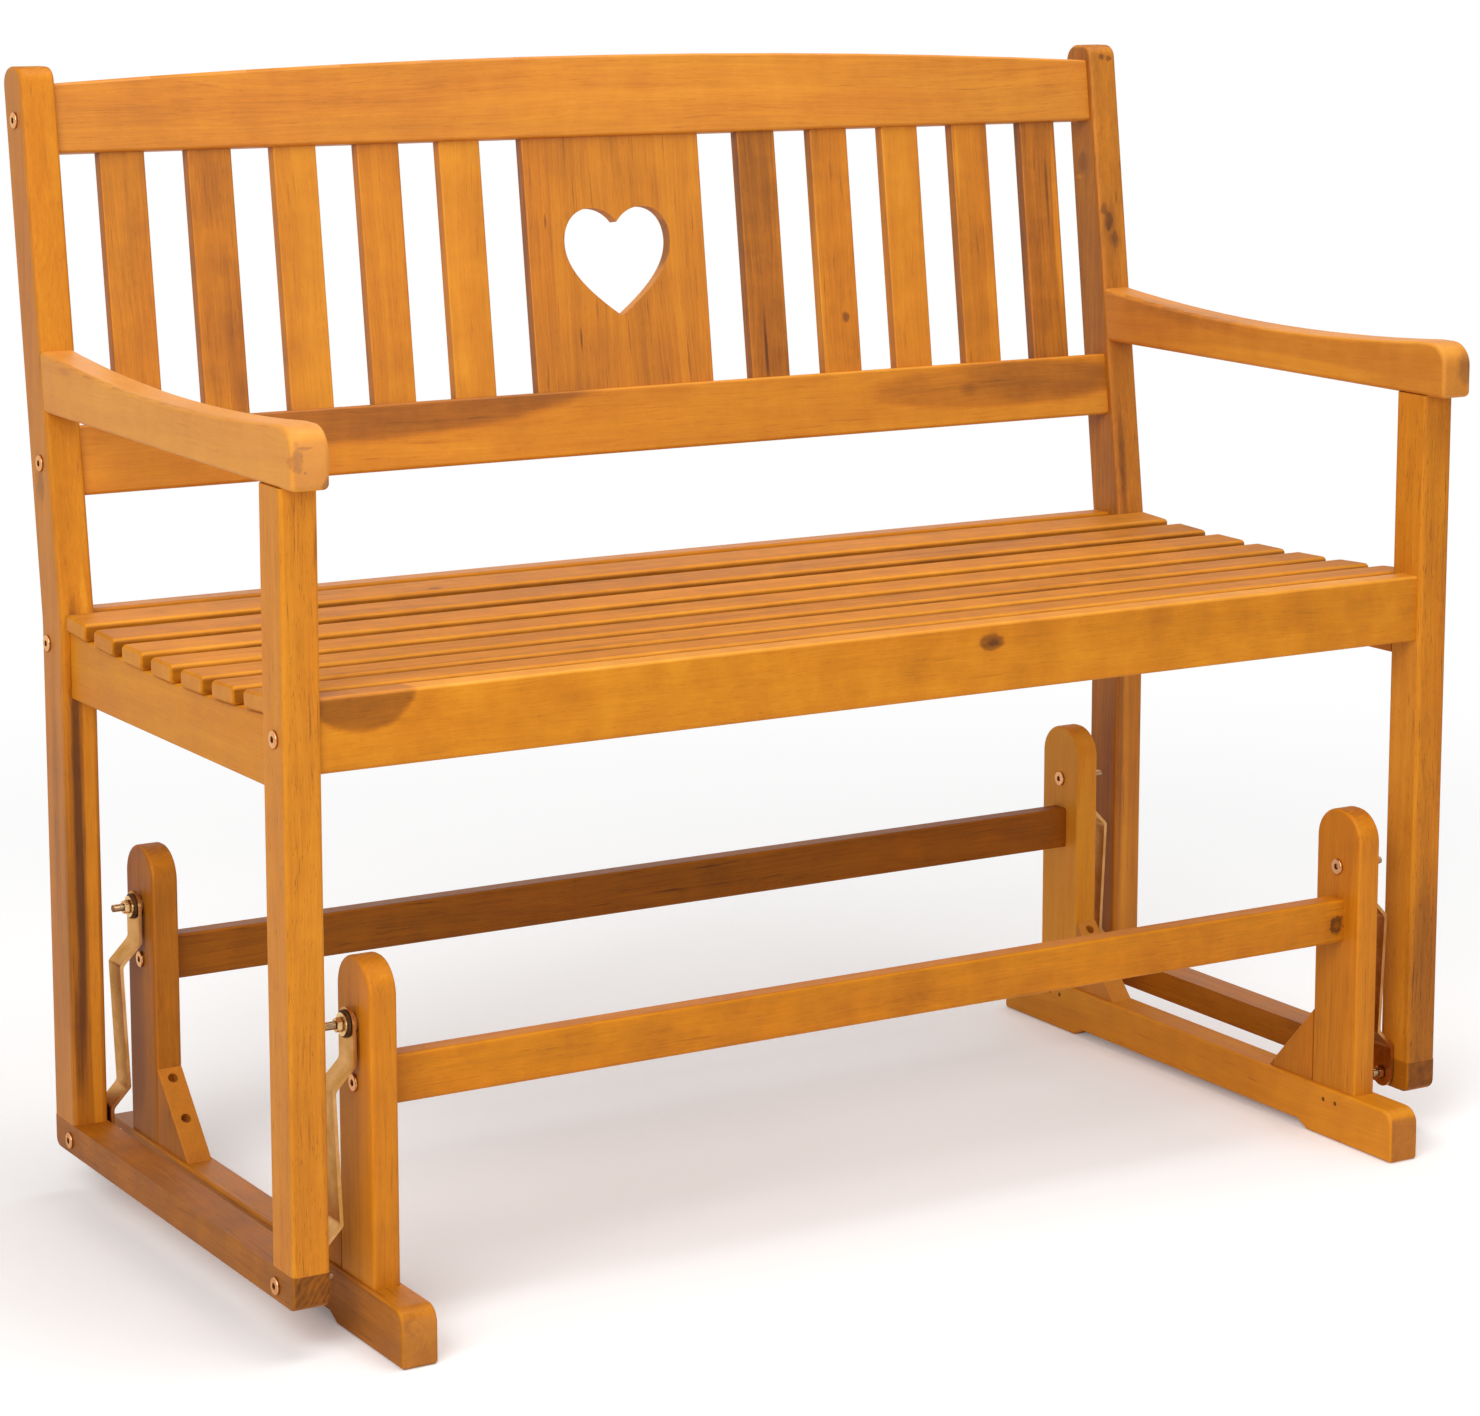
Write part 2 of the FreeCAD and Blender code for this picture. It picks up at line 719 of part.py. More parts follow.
lean_length = math.hypot(post_lean_back, lean_run)
lower_rail_top = lower_back_rail_rise + lower_back_rail_height
top_rail_end = lean_length - top_rail_drop
top_rail_low = top_rail_end - top_rail_end_height
lower_back_rail = block(
    -leg_inner_x,
    leg_inner_x,
    back_rail_setback,
    back_rail_setback + rail_thickness,
    lower_back_rail_rise,
    lower_rail_top,
)
lower_back_rail = lower_back_rail.makeFillet(rail_round, edges_along(lower_back_rail, across))
top_back_rail = make_top_rail(top_rail_low, top_rail_end)

first_slat_x = panel_width / 2 + panel_gap + back_slat_width / 2
slat_pitch = (leg_inner_x - first_slat_x + back_slat_width / 2) / back_slats_each_side
board_places = [(0, panel_width)]
for side in (-1, 1):
    for number in range(back_slats_each_side):
        board_places.append((side * (first_slat_x + number * slat_pitch), back_slat_width))
board_places.sort()
slat_number = 0
heart_top = (lower_rail_top + top_rail_low + heart_height) / 2
board_low = lower_rail_top - back_slat_tenon
board_high = top_rail_low + back_slat_tenon
for middle_x, width in board_places:
    board = make_back_board(middle_x, width, board_low, board_high)
    lower_back_rail = lower_back_rail.cut(board)
    top_back_rail = top_back_rail.cut(board)
    if middle_x == 0:
        parts["back_panel"] = leaned(board.cut(make_heart(heart_top)))
    else:
        slat_number += 1
        parts["back_slat_%d" % slat_number] = leaned(board)
lower_back_rail = leaned(lower_back_rail)
top_back_rail = leaned(top_back_rail)

rail_middle = back_rail_setback + rail_thickness / 2
seat_bolt_z = seat_rail_low_z + seat_bolt_rise
frame_bolts = []
for y, z in (
    leaned_place(rail_middle, top_rail_low + top_rail_end_height / 2),
    leaned_place(rail_middle, lower_back_rail_rise + lower_back_rail_height / 2),
    (rear_rail_y + rail_thickness / 2, seat_bolt_z),
    (front_rail_setback + rail_thickness / 2, seat_bolt_z),
):
    right_bolt = frame_bolt(half_width, y, z)
    rear_post = rear_post.cut(right_bolt)
    front_leg = front_leg.cut(right_bolt)
    for bolt in (right_bolt, mirrored(right_bolt)):
        top_back_rail = top_back_rail.cut(bolt)
        lower_back_rail = lower_back_rail.cut(bolt)
        rear_seat_rail = rear_seat_rail.cut(bolt)
        front_seat_rail = front_seat_rail.cut(bolt)
        frame_bolts.append(bolt)

leg_screws = []
for y in (leg_screw_inset, seat_frame_depth - leg_screw_inset):
    screw = wood_screw(Vec(leg_middle_x, y, bottom_rail_low_z), upward, leg_screw_length)
    bottom_rail = bottom_rail.cut(screw)
    rear_post = rear_post.cut(screw)
    front_leg = front_leg.cut(screw)
    leg_screws.append(screw)

# Lower pivots: head on the outer face of the bottom rail, then washer, strap and nut inside.
lower_washer_x = leg_inner_x - washer_thickness
lower_strap_x = lower_washer_x - side_clearance - strap_thickness
lower_nut_x = lower_strap_x - side_clearance - nut_thickness
lower_bolts = []
lower_nuts = []
lower_washers = []
for y in pivot_ys:
    shank = rod(lower_nut_x - lower_thread_reach, half_width, y, lower_pivot_z, pivot_diameter)
    bottom_rail = bottom_rail.cut(shank)
    lower_bolts.append(flat_head(half_width, y, lower_pivot_z, 1).fuse(shank))
    lower_nuts.append(pivot_nut(lower_nut_x, y, lower_pivot_z))
    washer = pivot_ring(lower_washer_x, y, lower_pivot_z, washer_thickness, washer_diameter)
    lower_washers.append(washer)

add_pair("bottom_rail", bottom_rail)
add_pair("front_leg", front_leg)
add_pair("rear_post", rear_post)
add_pair("armrest", armrest)
add_pair("seat_side_rail", make_side_rail())
parts["front_seat_rail"] = front_seat_rail
parts["rear_seat_rail"] = rear_seat_rail
parts["seat_centre_bearer"] = hollowed_rail(
    -rail_thickness / 2,
    rail_thickness / 2,
    front_rail_setback + rail_thickness,
    rear_rail_y,
    seat_rail_low_z + bearer_rise,
)
parts["back_lower_rail"] = lower_back_rail
parts["back_top_rail"] = top_back_rail
first_rear_y = rear_post_front_y - seat_slat_rear_gap
last_rear_y = front_leg_depth + seat_slat_front_gap + seat_slat_width
for number in range(seat_slat_count):
    rear_y = first_rear_y + number * (last_rear_y - first_rear_y) / (seat_slat_count - 1)
    parts["seat_slat_%d" % (number + 1)] = make_seat_slat(rear_y)
parts["seat_frame_bolts"] = Part.makeCompound(frame_bolts)
parts["leg_screws"] = both_sides(leg_screws)
parts["lower_pivot_bolts"] = both_sides(lower_bolts)
parts["lower_pivot_nuts"] = both_sides(lower_nuts)
parts["lower_pivot_washers"] = both_sides(lower_washers)

# Base: upper pivots have their head on the inner face of the post. Outside it follow a spacer, the
# strap, a plastic ring, a washer and the nut.
upper_strap_x = base_post_outer_x + spacer_thickness + side_clearance
glide_ring_x = upper_strap_x + strap_thickness + side_clearance
nut_washer_x = glide_ring_x + glide_ring_thickness
upper_nut_x = nut_washer_x + nut_washer_thickness
foot_rail = make_foot_rail()
strap = make_strap(upper_strap_x, lower_strap_x)
stretcher_bolts = []
upper_bolts = []
upper_nuts = []
upper_rings = []
upper_washers = []
upper_spacers = []
screws_in_gussets = []
tenon_pins = []
for place, pivot_y, inward in zip(("front", "rear"), pivot_ys, (1, -1)):
    face_y = pivot_y + inward * base_post_depth / 2
    post, tenon = make_base_post(pivot_y)
    gusset = make_gusset(face_y, inward)
    stretcher = make_stretcher(pivot_y)
    foot_rail = foot_rail.cut(tenon)
    screws, sinks = gusset_screws(face_y, inward)
    for screw, sink in zip(screws, sinks):
        gusset = gusset.cut(sink).cut(screw)
        post = post.cut(screw)
        foot_rail = foot_rail.cut(screw)
    for offset in (-pin_half_spacing, pin_half_spacing):
        pin = rod(foot_inner_x, foot_inner_x + pin_length, pivot_y + offset, pin_z, pin_diameter)
        post = post.cut(pin)
        foot_rail = foot_rail.cut(pin)
        tenon_pins.append(pin)
    bolt = frame_bolt(base_post_outer_x, pivot_y, stretcher_middle_z)
    thread_end_x = upper_nut_x + nut_thickness + upper_thread_reach
    shank = rod(base_post_inner_x, thread_end_x, pivot_y, upper_pivot_z, pivot_diameter)
    post = post.cut(bolt).cut(shank)
    hanger = strap.copy()
    hanger.translate(Vec(0, pivot_y, 0))
    screws_in_gussets += screws
    stretcher_bolts.append(bolt)
    upper_bolts.append(flat_head(base_post_inner_x, pivot_y, upper_pivot_z, -1).fuse(shank))
    upper_nuts.append(pivot_nut(upper_nut_x, pivot_y, upper_pivot_z))
    for rings, x, thickness, diameter in (
        (upper_spacers, base_post_outer_x, spacer_thickness, washer_diameter),
        (upper_rings, glide_ring_x, glide_ring_thickness, glide_ring_diameter),
        (upper_washers, nut_washer_x, nut_washer_thickness, nut_washer_diameter),
    ):
        rings.append(pivot_ring(x, pivot_y, upper_pivot_z, thickness, diameter))
    add_pair("base_post_" + place, post)
    add_pair("gusset_" + place, gusset)
    add_pair("hanger_" + place, hanger)
    parts[place + "_stretcher"] = stretcher.cut(bolt).cut(mirrored(bolt))
add_pair("foot_rail", foot_rail)
parts["stretcher_bolts"] = both_sides(stretcher_bolts)
parts["upper_pivot_bolts"] = both_sides(upper_bolts)
parts["upper_pivot_nuts"] = both_sides(upper_nuts)
parts["upper_pivot_glide_rings"] = both_sides(upper_rings)
parts["upper_pivot_washers"] = both_sides(upper_washers)
parts["upper_pivot_spacers"] = both_sides(upper_spacers)
parts["gusset_screws"] = both_sides(screws_in_gussets)
parts["tenon_pins"] = both_sides(tenon_pins)

# The origin lies on the floor under the middle of the overall box. The rearmost point is where the
# rear face of a leaning post meets the rounding of its top.
rear_slope = (post_top_rear_y - seat_frame_depth) / lean_run
corner_loss = post_top_rear_round * (rear_slope + math.hypot(1, rear_slope) - 1)
middle_y = (foot_front_y + post_top_rear_y - corner_loss) / 2
os.makedirs("parts", exist_ok=True)
for name, shape in parts.items():
    shape.translate(Vec(0, -middle_y, 0))
    shape.exportStep("parts/%s.step" % name)
print(len(parts), "parts")
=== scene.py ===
import math

import bmesh
import bpy
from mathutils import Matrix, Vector


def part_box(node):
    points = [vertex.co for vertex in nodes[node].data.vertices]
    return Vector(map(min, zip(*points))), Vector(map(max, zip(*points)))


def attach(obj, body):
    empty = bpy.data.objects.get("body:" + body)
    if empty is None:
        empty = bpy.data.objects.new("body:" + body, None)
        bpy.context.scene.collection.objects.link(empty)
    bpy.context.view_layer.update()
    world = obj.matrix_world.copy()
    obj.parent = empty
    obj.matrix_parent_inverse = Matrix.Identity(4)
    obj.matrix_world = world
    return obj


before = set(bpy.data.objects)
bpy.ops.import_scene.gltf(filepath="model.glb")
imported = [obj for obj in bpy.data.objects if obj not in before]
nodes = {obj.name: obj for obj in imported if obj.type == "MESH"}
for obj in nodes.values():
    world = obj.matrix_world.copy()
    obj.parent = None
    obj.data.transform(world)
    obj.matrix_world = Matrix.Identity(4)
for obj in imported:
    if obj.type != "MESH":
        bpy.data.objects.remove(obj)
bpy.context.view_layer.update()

# Camera at the photograph's angle.
CAMERA_PLACE = (-1.702571, -2.788771, 1.059651)
CAMERA_AZIMUTH = -31.096
CAMERA_PITCH = 8.868
CAMERA_LENS = 95.485
CAMERA_SHIFT_Y = -0.12
SENSOR_WIDTH = 36.0

# Wood colours from dark heartwood to pale sapwood, in linear RGB.
WOOD_RAMP = (
    (0.00, (0.040, 0.012, 0.003)),
    (0.20, (0.140, 0.041, 0.004)),
    (0.40, (0.340, 0.106, 0.004)),
    (0.58, (0.560, 0.187, 0.005)),
    (0.76, (0.720, 0.285, 0.011)),
    (1.00, (0.850, 0.440, 0.060)),
)
REDDER_TINT = (1.0, 0.90, 0.86, 1.0)
# The pale colour of drier wood, also used to paint a sheen on some faces.
DRY_WOOD_AND_SHEEN = (0.72, 0.36, 0.15, 1.0)

# Frequencies of the wood's noises, per metre: along the grain, and across it both ways.
SWAY = (3.2, 11.0, 11.0)
RING_WIDTHS = (1.5, 55.0, 55.0)
BROAD_STREAKS = (2.2, 85.0, 85.0)
FINE_STREAKS = (6.0, 420.0, 420.0)
FIBRES = (24.0, 900.0, 900.0)
PATCHES = (3.6, 20.0, 20.0)
MOTTLE = (34.0, 30.0, 30.0)
BANDS = (20.0, 5.0, 5.0)
PORES = (100.0, 1500.0, 1500.0)
FLECKS = (15.0, 360.0, 360.0)
END_WAVES = (60.0, 60.0, 60.0)
END_SPOTS = (260.0, 140.0, 140.0)
REDNESS = (2.6, 16.0, 16.0)
# How far the sway moves the grain, in metres for a noise of 1.
SWAY_REACH = (0.0, 0.022, 0.022)
# The stretch of each noise over which its share goes from none to full.
PORE_RANGE = (0.60, 0.72)
FLECK_RANGE = (0.62, 0.76)
RED_RANGE = (0.40, 0.66)
DRY_AND_SHEEN_RANGE = (0.30, 0.65)
DRY_AND_SHEEN_SHARES = (0.75, 1.15)

# Growth rings: where their centre lies beside the board, how far it drifts per metre along it, their
# angular frequency per metre on the sides and ends, and how far noise moves them, in radians.
RING_CENTRE_Y = -0.055
RING_CENTRE_Z = -0.034
RING_DRIFT = 0.05
RING_FREQUENCY = 420.0
END_RING_FREQUENCY = 1300.0
RING_UNEVENNESS = 14.0

# Contrasts, in steps of the wood's tone.
RING_CONTRAST = 0.012
BROAD_STREAK_CONTRAST = 0.62
FINE_STREAK_CONTRAST = 0.55
BAND_CONTRAST = 0.5
FIBRE_CONTRAST = 0.14
END_SPOT_CONTRAST = 0.26
# The painted highlight along rounded edges, in the same steps.
EDGE_HIGHLIGHT = 0.06

# Surface of the wood: its shine, how much rougher it is in places, and the relief of fibres and pores.
WOOD_SPECULAR = 0.20
ROUGHNESS_CONTRAST = 0.14
END_ROUGHER = 0.15
PORE_ROUGHER = 0.12
FIBRE_HEIGHT = 0.5
WOOD_BUMP = {"Strength": 0.25, "Distance": 0.0004}

# Where a normal counts as end grain, as a rounded edge, or as a named face of the board. The first
# number is where the share starts and the second where it is full.
END_FACING = (0.55, 0.95)
EDGE_FACING = (0.97, 0.80)
NAMED_FACING = (0.75, 0.95)
# Rounded edges that look down get only this share of the painted highlight.
UNDERSIDE_HIGHLIGHT_SHARE = 0.3
UNDERSIDE_UPWARDS = (-0.4, 0.4)

# Moves the grain of each node, and the ripple of each spot, to a part of the noise of its own.
SEED_STEP = (3.17, 0.61, 0.43)
SPOT_STEP = (91.0, 91.0, 91.0)
# Frequency of the ripple in the outline of a spot, for each half width of the spot.
SPOT_RIPPLE = (1.4, 1.4, 1.4)

# Plated steel: its tint at grazing angles, and a dark painted shade where a face has others close by.
METAL_EDGE = (1.0, 0.82, 0.58, 1.0)
RECESS_SHADE = (0.030, 0.015, 0.006, 1.0)
RECESS_SHADE_REACH = 0.0030
RECESS_SHADE_RANGE = (0.80, 0.45)
RECESS_SHADE_SHARE = 0.90
METAL_CLOUDS = (70.0, 70.0, 50.0)
METAL_CLOUD_RANGE = (0.35, 0.68)
METAL_SCRATCHES = (2400.0, 2400.0, 160.0)
SCRATCH_ROUGHNESS = 0.22
METAL_BUMP = {"Strength": 0.15, "Distance": 0.0002}

# Moulded nylon: the frequency of its texture, and its colour and roughness over that texture's range.
NYLON_GRAIN = (1500.0, 1500.0, 1500.0)
NYLON_RANGE = (0.3, 0.7)
NYLON_COLOURS = ((0.050, 0.022, 0.008), (0.110, 0.050, 0.018))
NYLON_ROUGHNESS = (0.50, 0.66)
NYLON_BUMP = {"Strength": 0.3, "Distance": 0.0001}
NYLON_SPECULAR = 0.15

# Grain directions as rotations that bring the grain onto the texture's X axis.
GRAIN_TURNS = {
    "x": (0.0, 0.0, 0.0),
    "y": (0.0, 0.0, math.radians(-90)),
    "z": (0.0, math.radians(90), 0.0),
}


def add(tree, kind, inputs=None, **settings):
    """A node with its settings; each input is a constant or a socket to link."""
    made = tree.nodes.new(kind)
    for name, value in settings.items():
        setattr(made, name, value)
    for key, value in (inputs or {}).items():
        if isinstance(value, bpy.types.NodeSocket):
            tree.links.new(value, made.inputs[key])
        else:
            made.inputs[key].default_value = value
    return made


def calc(tree, operation, *values):
    """The result of one sum on numbers."""
    return add(tree, "ShaderNodeMath", dict(enumerate(values)), operation=operation).outputs[0]


def vector_calc(tree, operation, *values):
    """The result of one sum on vectors, which is a number for a dot product or a length."""
    made = add(tree, "ShaderNodeVectorMath", dict(enumerate(values)), operation=operation)
    return made.outputs["Value" if operation in ("DOT_PRODUCT", "LENGTH") else "Vector"]


def noise(tree, vector, stretch, detail=3.0, roughness=0.55):
    """Noise between 0 and 1 with its own frequency, per metre, along each axis."""
    scaled = vector_calc(tree, "MULTIPLY", vector, stretch)
    made = add(
        tree,
        "ShaderNodeTexNoise",
        {"Vector": scaled, "Scale": 1.0, "Detail": detail, "Roughness": roughness},
    )
    return made.outputs["Fac"]


def remap(tree, value, low, high, to_low=0.0, to_high=1.0, smooth=False):
    """A value brought from one range to another, and kept inside it."""
    made = add(
        tree,
        "ShaderNodeMapRange",
        {"Value": value, "From Min": low, "From Max": high, "To Min": to_low, "To Max": to_high},
        interpolation_type="SMOOTHSTEP" if smooth else "LINEAR",
    )
    return made.outputs["Result"]


def ramp(tree, value, stops):
    """A colour picked by a value between (place, colour) stops."""
    made = add(tree, "ShaderNodeValToRGB", {"Fac": value})
    elements = made.color_ramp.elements
    while len(elements) < len(stops):
        elements.new(0.5)
    for element, (place, colour) in zip(elements, stops):
        element.position = place
        element.color = (*colour, 1.0)
    return made.outputs["Color"]


def centred(tree, value, strength):
    """Noise about 0 with the given strength."""
    return calc(tree, "MULTIPLY", calc(tree, "SUBTRACT", value, 0.5), strength)


def mix_colours(tree, share, first, second, blend="MIX"):
    """The first colour, with the second mixed in by its share."""
    made = add(
        tree, "ShaderNodeMix", {"Factor": share, "A": first, "B": second},
        data_type="RGBA", blend_type=blend,
    )
    return made.outputs["Result"]


def new_material(name):
    """An empty material and its node tree."""
    material = bpy.data.materials.new(name)
    material.use_nodes = True
    material.node_tree.nodes.clear()
    return material, material.node_tree


def finish_material(tree, inputs):
    """The shader with its inputs, linked to the material's output."""
    shader = add(tree, "ShaderNodeBsdfPrincipled", inputs)
    add(tree, "ShaderNodeOutputMaterial", {"Surface": shader.outputs[0]})


def make_wood_group():
    """Colour, roughness and height of oiled hardwood whose grain runs along X."""
    group = bpy.data.node_groups.new("oiled_wood", "ShaderNodeTree")
    group.interface.new_socket("Vector", in_out="INPUT", socket_type="NodeSocketVector")
    for name in (
        "Tone", "Streaks", "Patches", "Clouds", "Flecks", "Pores", "Pale", "Matt", "Red", "Dark",
        "End", "End Rings", "End Tone", "Edge Highlight",
    ):
        group.interface.new_socket(name, in_out="INPUT", socket_type="NodeSocketFloat")
    for name, kind in (
        ("Color", "NodeSocketColor"),
        ("Roughness", "NodeSocketFloat"),
        ("Height", "NodeSocketFloat"),
    ):
        group.interface.new_socket(name, in_out="OUTPUT", socket_type=kind)
    given = group.nodes.new("NodeGroupInput").outputs
    place = given["Vector"]

    # slow waviness of the grain, up to a few millimetres across it
    sway = add(
        group,
        "ShaderNodeTexNoise",
        {"Vector": vector_calc(group, "MULTIPLY", place, SWAY), "Scale": 1.0, "Detail": 1.0},
    )
    sway = vector_calc(group, "SUBTRACT", sway.outputs["Color"], (0.5, 0.5, 0.5))
    wavy = vector_calc(group, "ADD", place, vector_calc(group, "MULTIPLY", sway, SWAY_REACH))

    # growth rings of uneven width, cut at a shallow angle, so they show as long arches
    parts = add(group, "ShaderNodeSeparateXYZ", {0: wavy}).outputs
    drift = calc(group, "MULTIPLY", parts["X"], RING_DRIFT)
    across_y = calc(group, "ADD", calc(group, "SUBTRACT", parts["Y"], RING_CENTRE_Y), drift)
    across_z = calc(group, "SUBTRACT", parts["Z"], RING_CENTRE_Z)
    squares = calc(group, "ADD", calc(group, "POWER", across_y, 2.0), calc(group, "POWER", across_z, 2.0))
    radius = calc(group, "SQRT", squares)
    uneven = noise(group, wavy, RING_WIDTHS, 3.0)
    uneven = calc(group, "MULTIPLY", uneven, RING_UNEVENNESS)
    phase = calc(group, "ADD", calc(group, "MULTIPLY", radius, RING_FREQUENCY), uneven)
    rings = calc(group, "MULTIPLY", calc(group, "SINE", phase), RING_CONTRAST)

    # long streaks, broad and fine, then fibres, broad colour changes, clouds and bands across the grain
    broad = centred(group, noise(group, wavy, BROAD_STREAKS, 5.0, 0.62), BROAD_STREAK_CONTRAST)
    fine = centred(group, noise(group, wavy, FINE_STREAKS, 3.0, 0.6), FINE_STREAK_CONTRAST)
    streaks = calc(group, "MULTIPLY", calc(group, "ADD", broad, fine), given["Streaks"])
    fibres = noise(group, wavy, FIBRES, 3.0)
    patches = centred(group, noise(group, wavy, PATCHES, 2.0), given["Patches"])
    mottle = noise(group, place, MOTTLE, 4.0, 0.6)
    bands = centred(group, noise(group, place, BANDS, 2.0), BAND_CONTRAST)
    clouds = calc(group, "ADD", centred(group, mottle, 1.0), bands)
    clouds = calc(group, "MULTIPLY", clouds, given["Clouds"])

    # short dark pores and longer dark flecks along the grain
    pores = remap(group, noise(group, wavy, PORES, 2.0), *PORE_RANGE, smooth=True)
    flecks = remap(group, noise(group, wavy, FLECKS, 2.0), *FLECK_RANGE, smooth=True)
    flecks = calc(group, "MULTIPLY", flecks, given["Flecks"])

    # end grain soaks up more oil and shows its rings
    end_wave = calc(group, "MULTIPLY", noise(group, place, END_WAVES, 2.0), RING_UNEVENNESS)
    end_phase = calc(group, "ADD", calc(group, "MULTIPLY", radius, END_RING_FREQUENCY), end_wave)
    end_rings = calc(group, "MULTIPLY", calc(group, "SINE", end_phase), given["End Rings"])
    end_spots = centred(group, noise(group, place, END_SPOTS, 4.0), END_SPOT_CONTRAST)
    end_shift = calc(group, "ADD", calc(group, "ADD", end_rings, end_spots), given["End Tone"])

    side_shift = calc(group, "ADD", calc(group, "ADD", rings, streaks), clouds)
    side_shift = calc(group, "ADD", side_shift, centred(group, fibres, FIBRE_CONTRAST))
    side_shift = calc(group, "SUBTRACT", side_shift, calc(group, "MULTIPLY", pores, given["Pores"]))
    side_shift = calc(group, "SUBTRACT", side_shift, flecks)
    shift = add(
        group, "ShaderNodeMix", {"Factor": given["End"], "A": side_shift, "B": end_shift}, data_type="FLOAT"
    ).outputs["Result"]
    shade = calc(group, "ADD", calc(group, "ADD", given["Tone"], patches), shift)
    shade = calc(group, "SUBTRACT", shade, given["Dark"])
    # painted highlight along the rounded edges
    shade = calc(group, "ADD", shade, calc(group, "MULTIPLY", given["Edge Highlight"], EDGE_HIGHLIGHT))
    colour = ramp(group, shade, WOOD_RAMP)

    # redder wood in places
    redness = remap(group, noise(group, wavy, REDNESS, 2.0), *RED_RANGE, smooth=True)
    redness = calc(group, "MULTIPLY", redness, given["Red"])
    tinted = mix_colours(group, redness, colour, REDDER_TINT, blend="MULTIPLY")
    # drier wood, where little oil has soaked in, is paler and pinker; the same pale mix also paints a sheen
    # on the faces that are given one
    dry_and_sheen = calc(group, "MULTIPLY", remap(group, mottle, *DRY_AND_SHEEN_RANGE, *DRY_AND_SHEEN_SHARES), given["Pale"])
    paled = mix_colours(group, dry_and_sheen, tinted, DRY_WOOD_AND_SHEEN)

    ends = calc(group, "MULTIPLY", given["End"], END_ROUGHER)
    rough = calc(group, "ADD", centred(group, mottle, ROUGHNESS_CONTRAST), ends)
    rough = calc(group, "ADD", rough, given["Matt"])
    rough = calc(group, "ADD", rough, calc(group, "MULTIPLY", pores, PORE_ROUGHER))
    height = calc(group, "SUBTRACT", calc(group, "MULTIPLY", fibres, FIBRE_HEIGHT), pores)
    add(group, "NodeGroupOutput", {"Color": paled, "Roughness": rough, "Height": height})
    return group


wood_group = make_wood_group()


def spot(tree, place, centre, size, wobble, soft):
    """1 inside a wobbly ellipsoid round a knot or patch, falling to 0 over its soft rim."""
    offset = vector_calc(tree, "SUBTRACT", place, centre)
    scaled = vector_calc(tree, "DIVIDE", offset, size)
    distance = vector_calc(tree, "LENGTH", scaled)
    shifted = vector_calc(tree, "ADD", scaled, vector_calc(tree, "MULTIPLY", centre, SPOT_STEP))
    ripple = centred(tree, noise(tree, shifted, SPOT_RIPPLE, 4.0), wobble)
    return remap(tree, calc(tree, "ADD", distance, ripple), 1.0, 1.0 - soft, smooth=True)


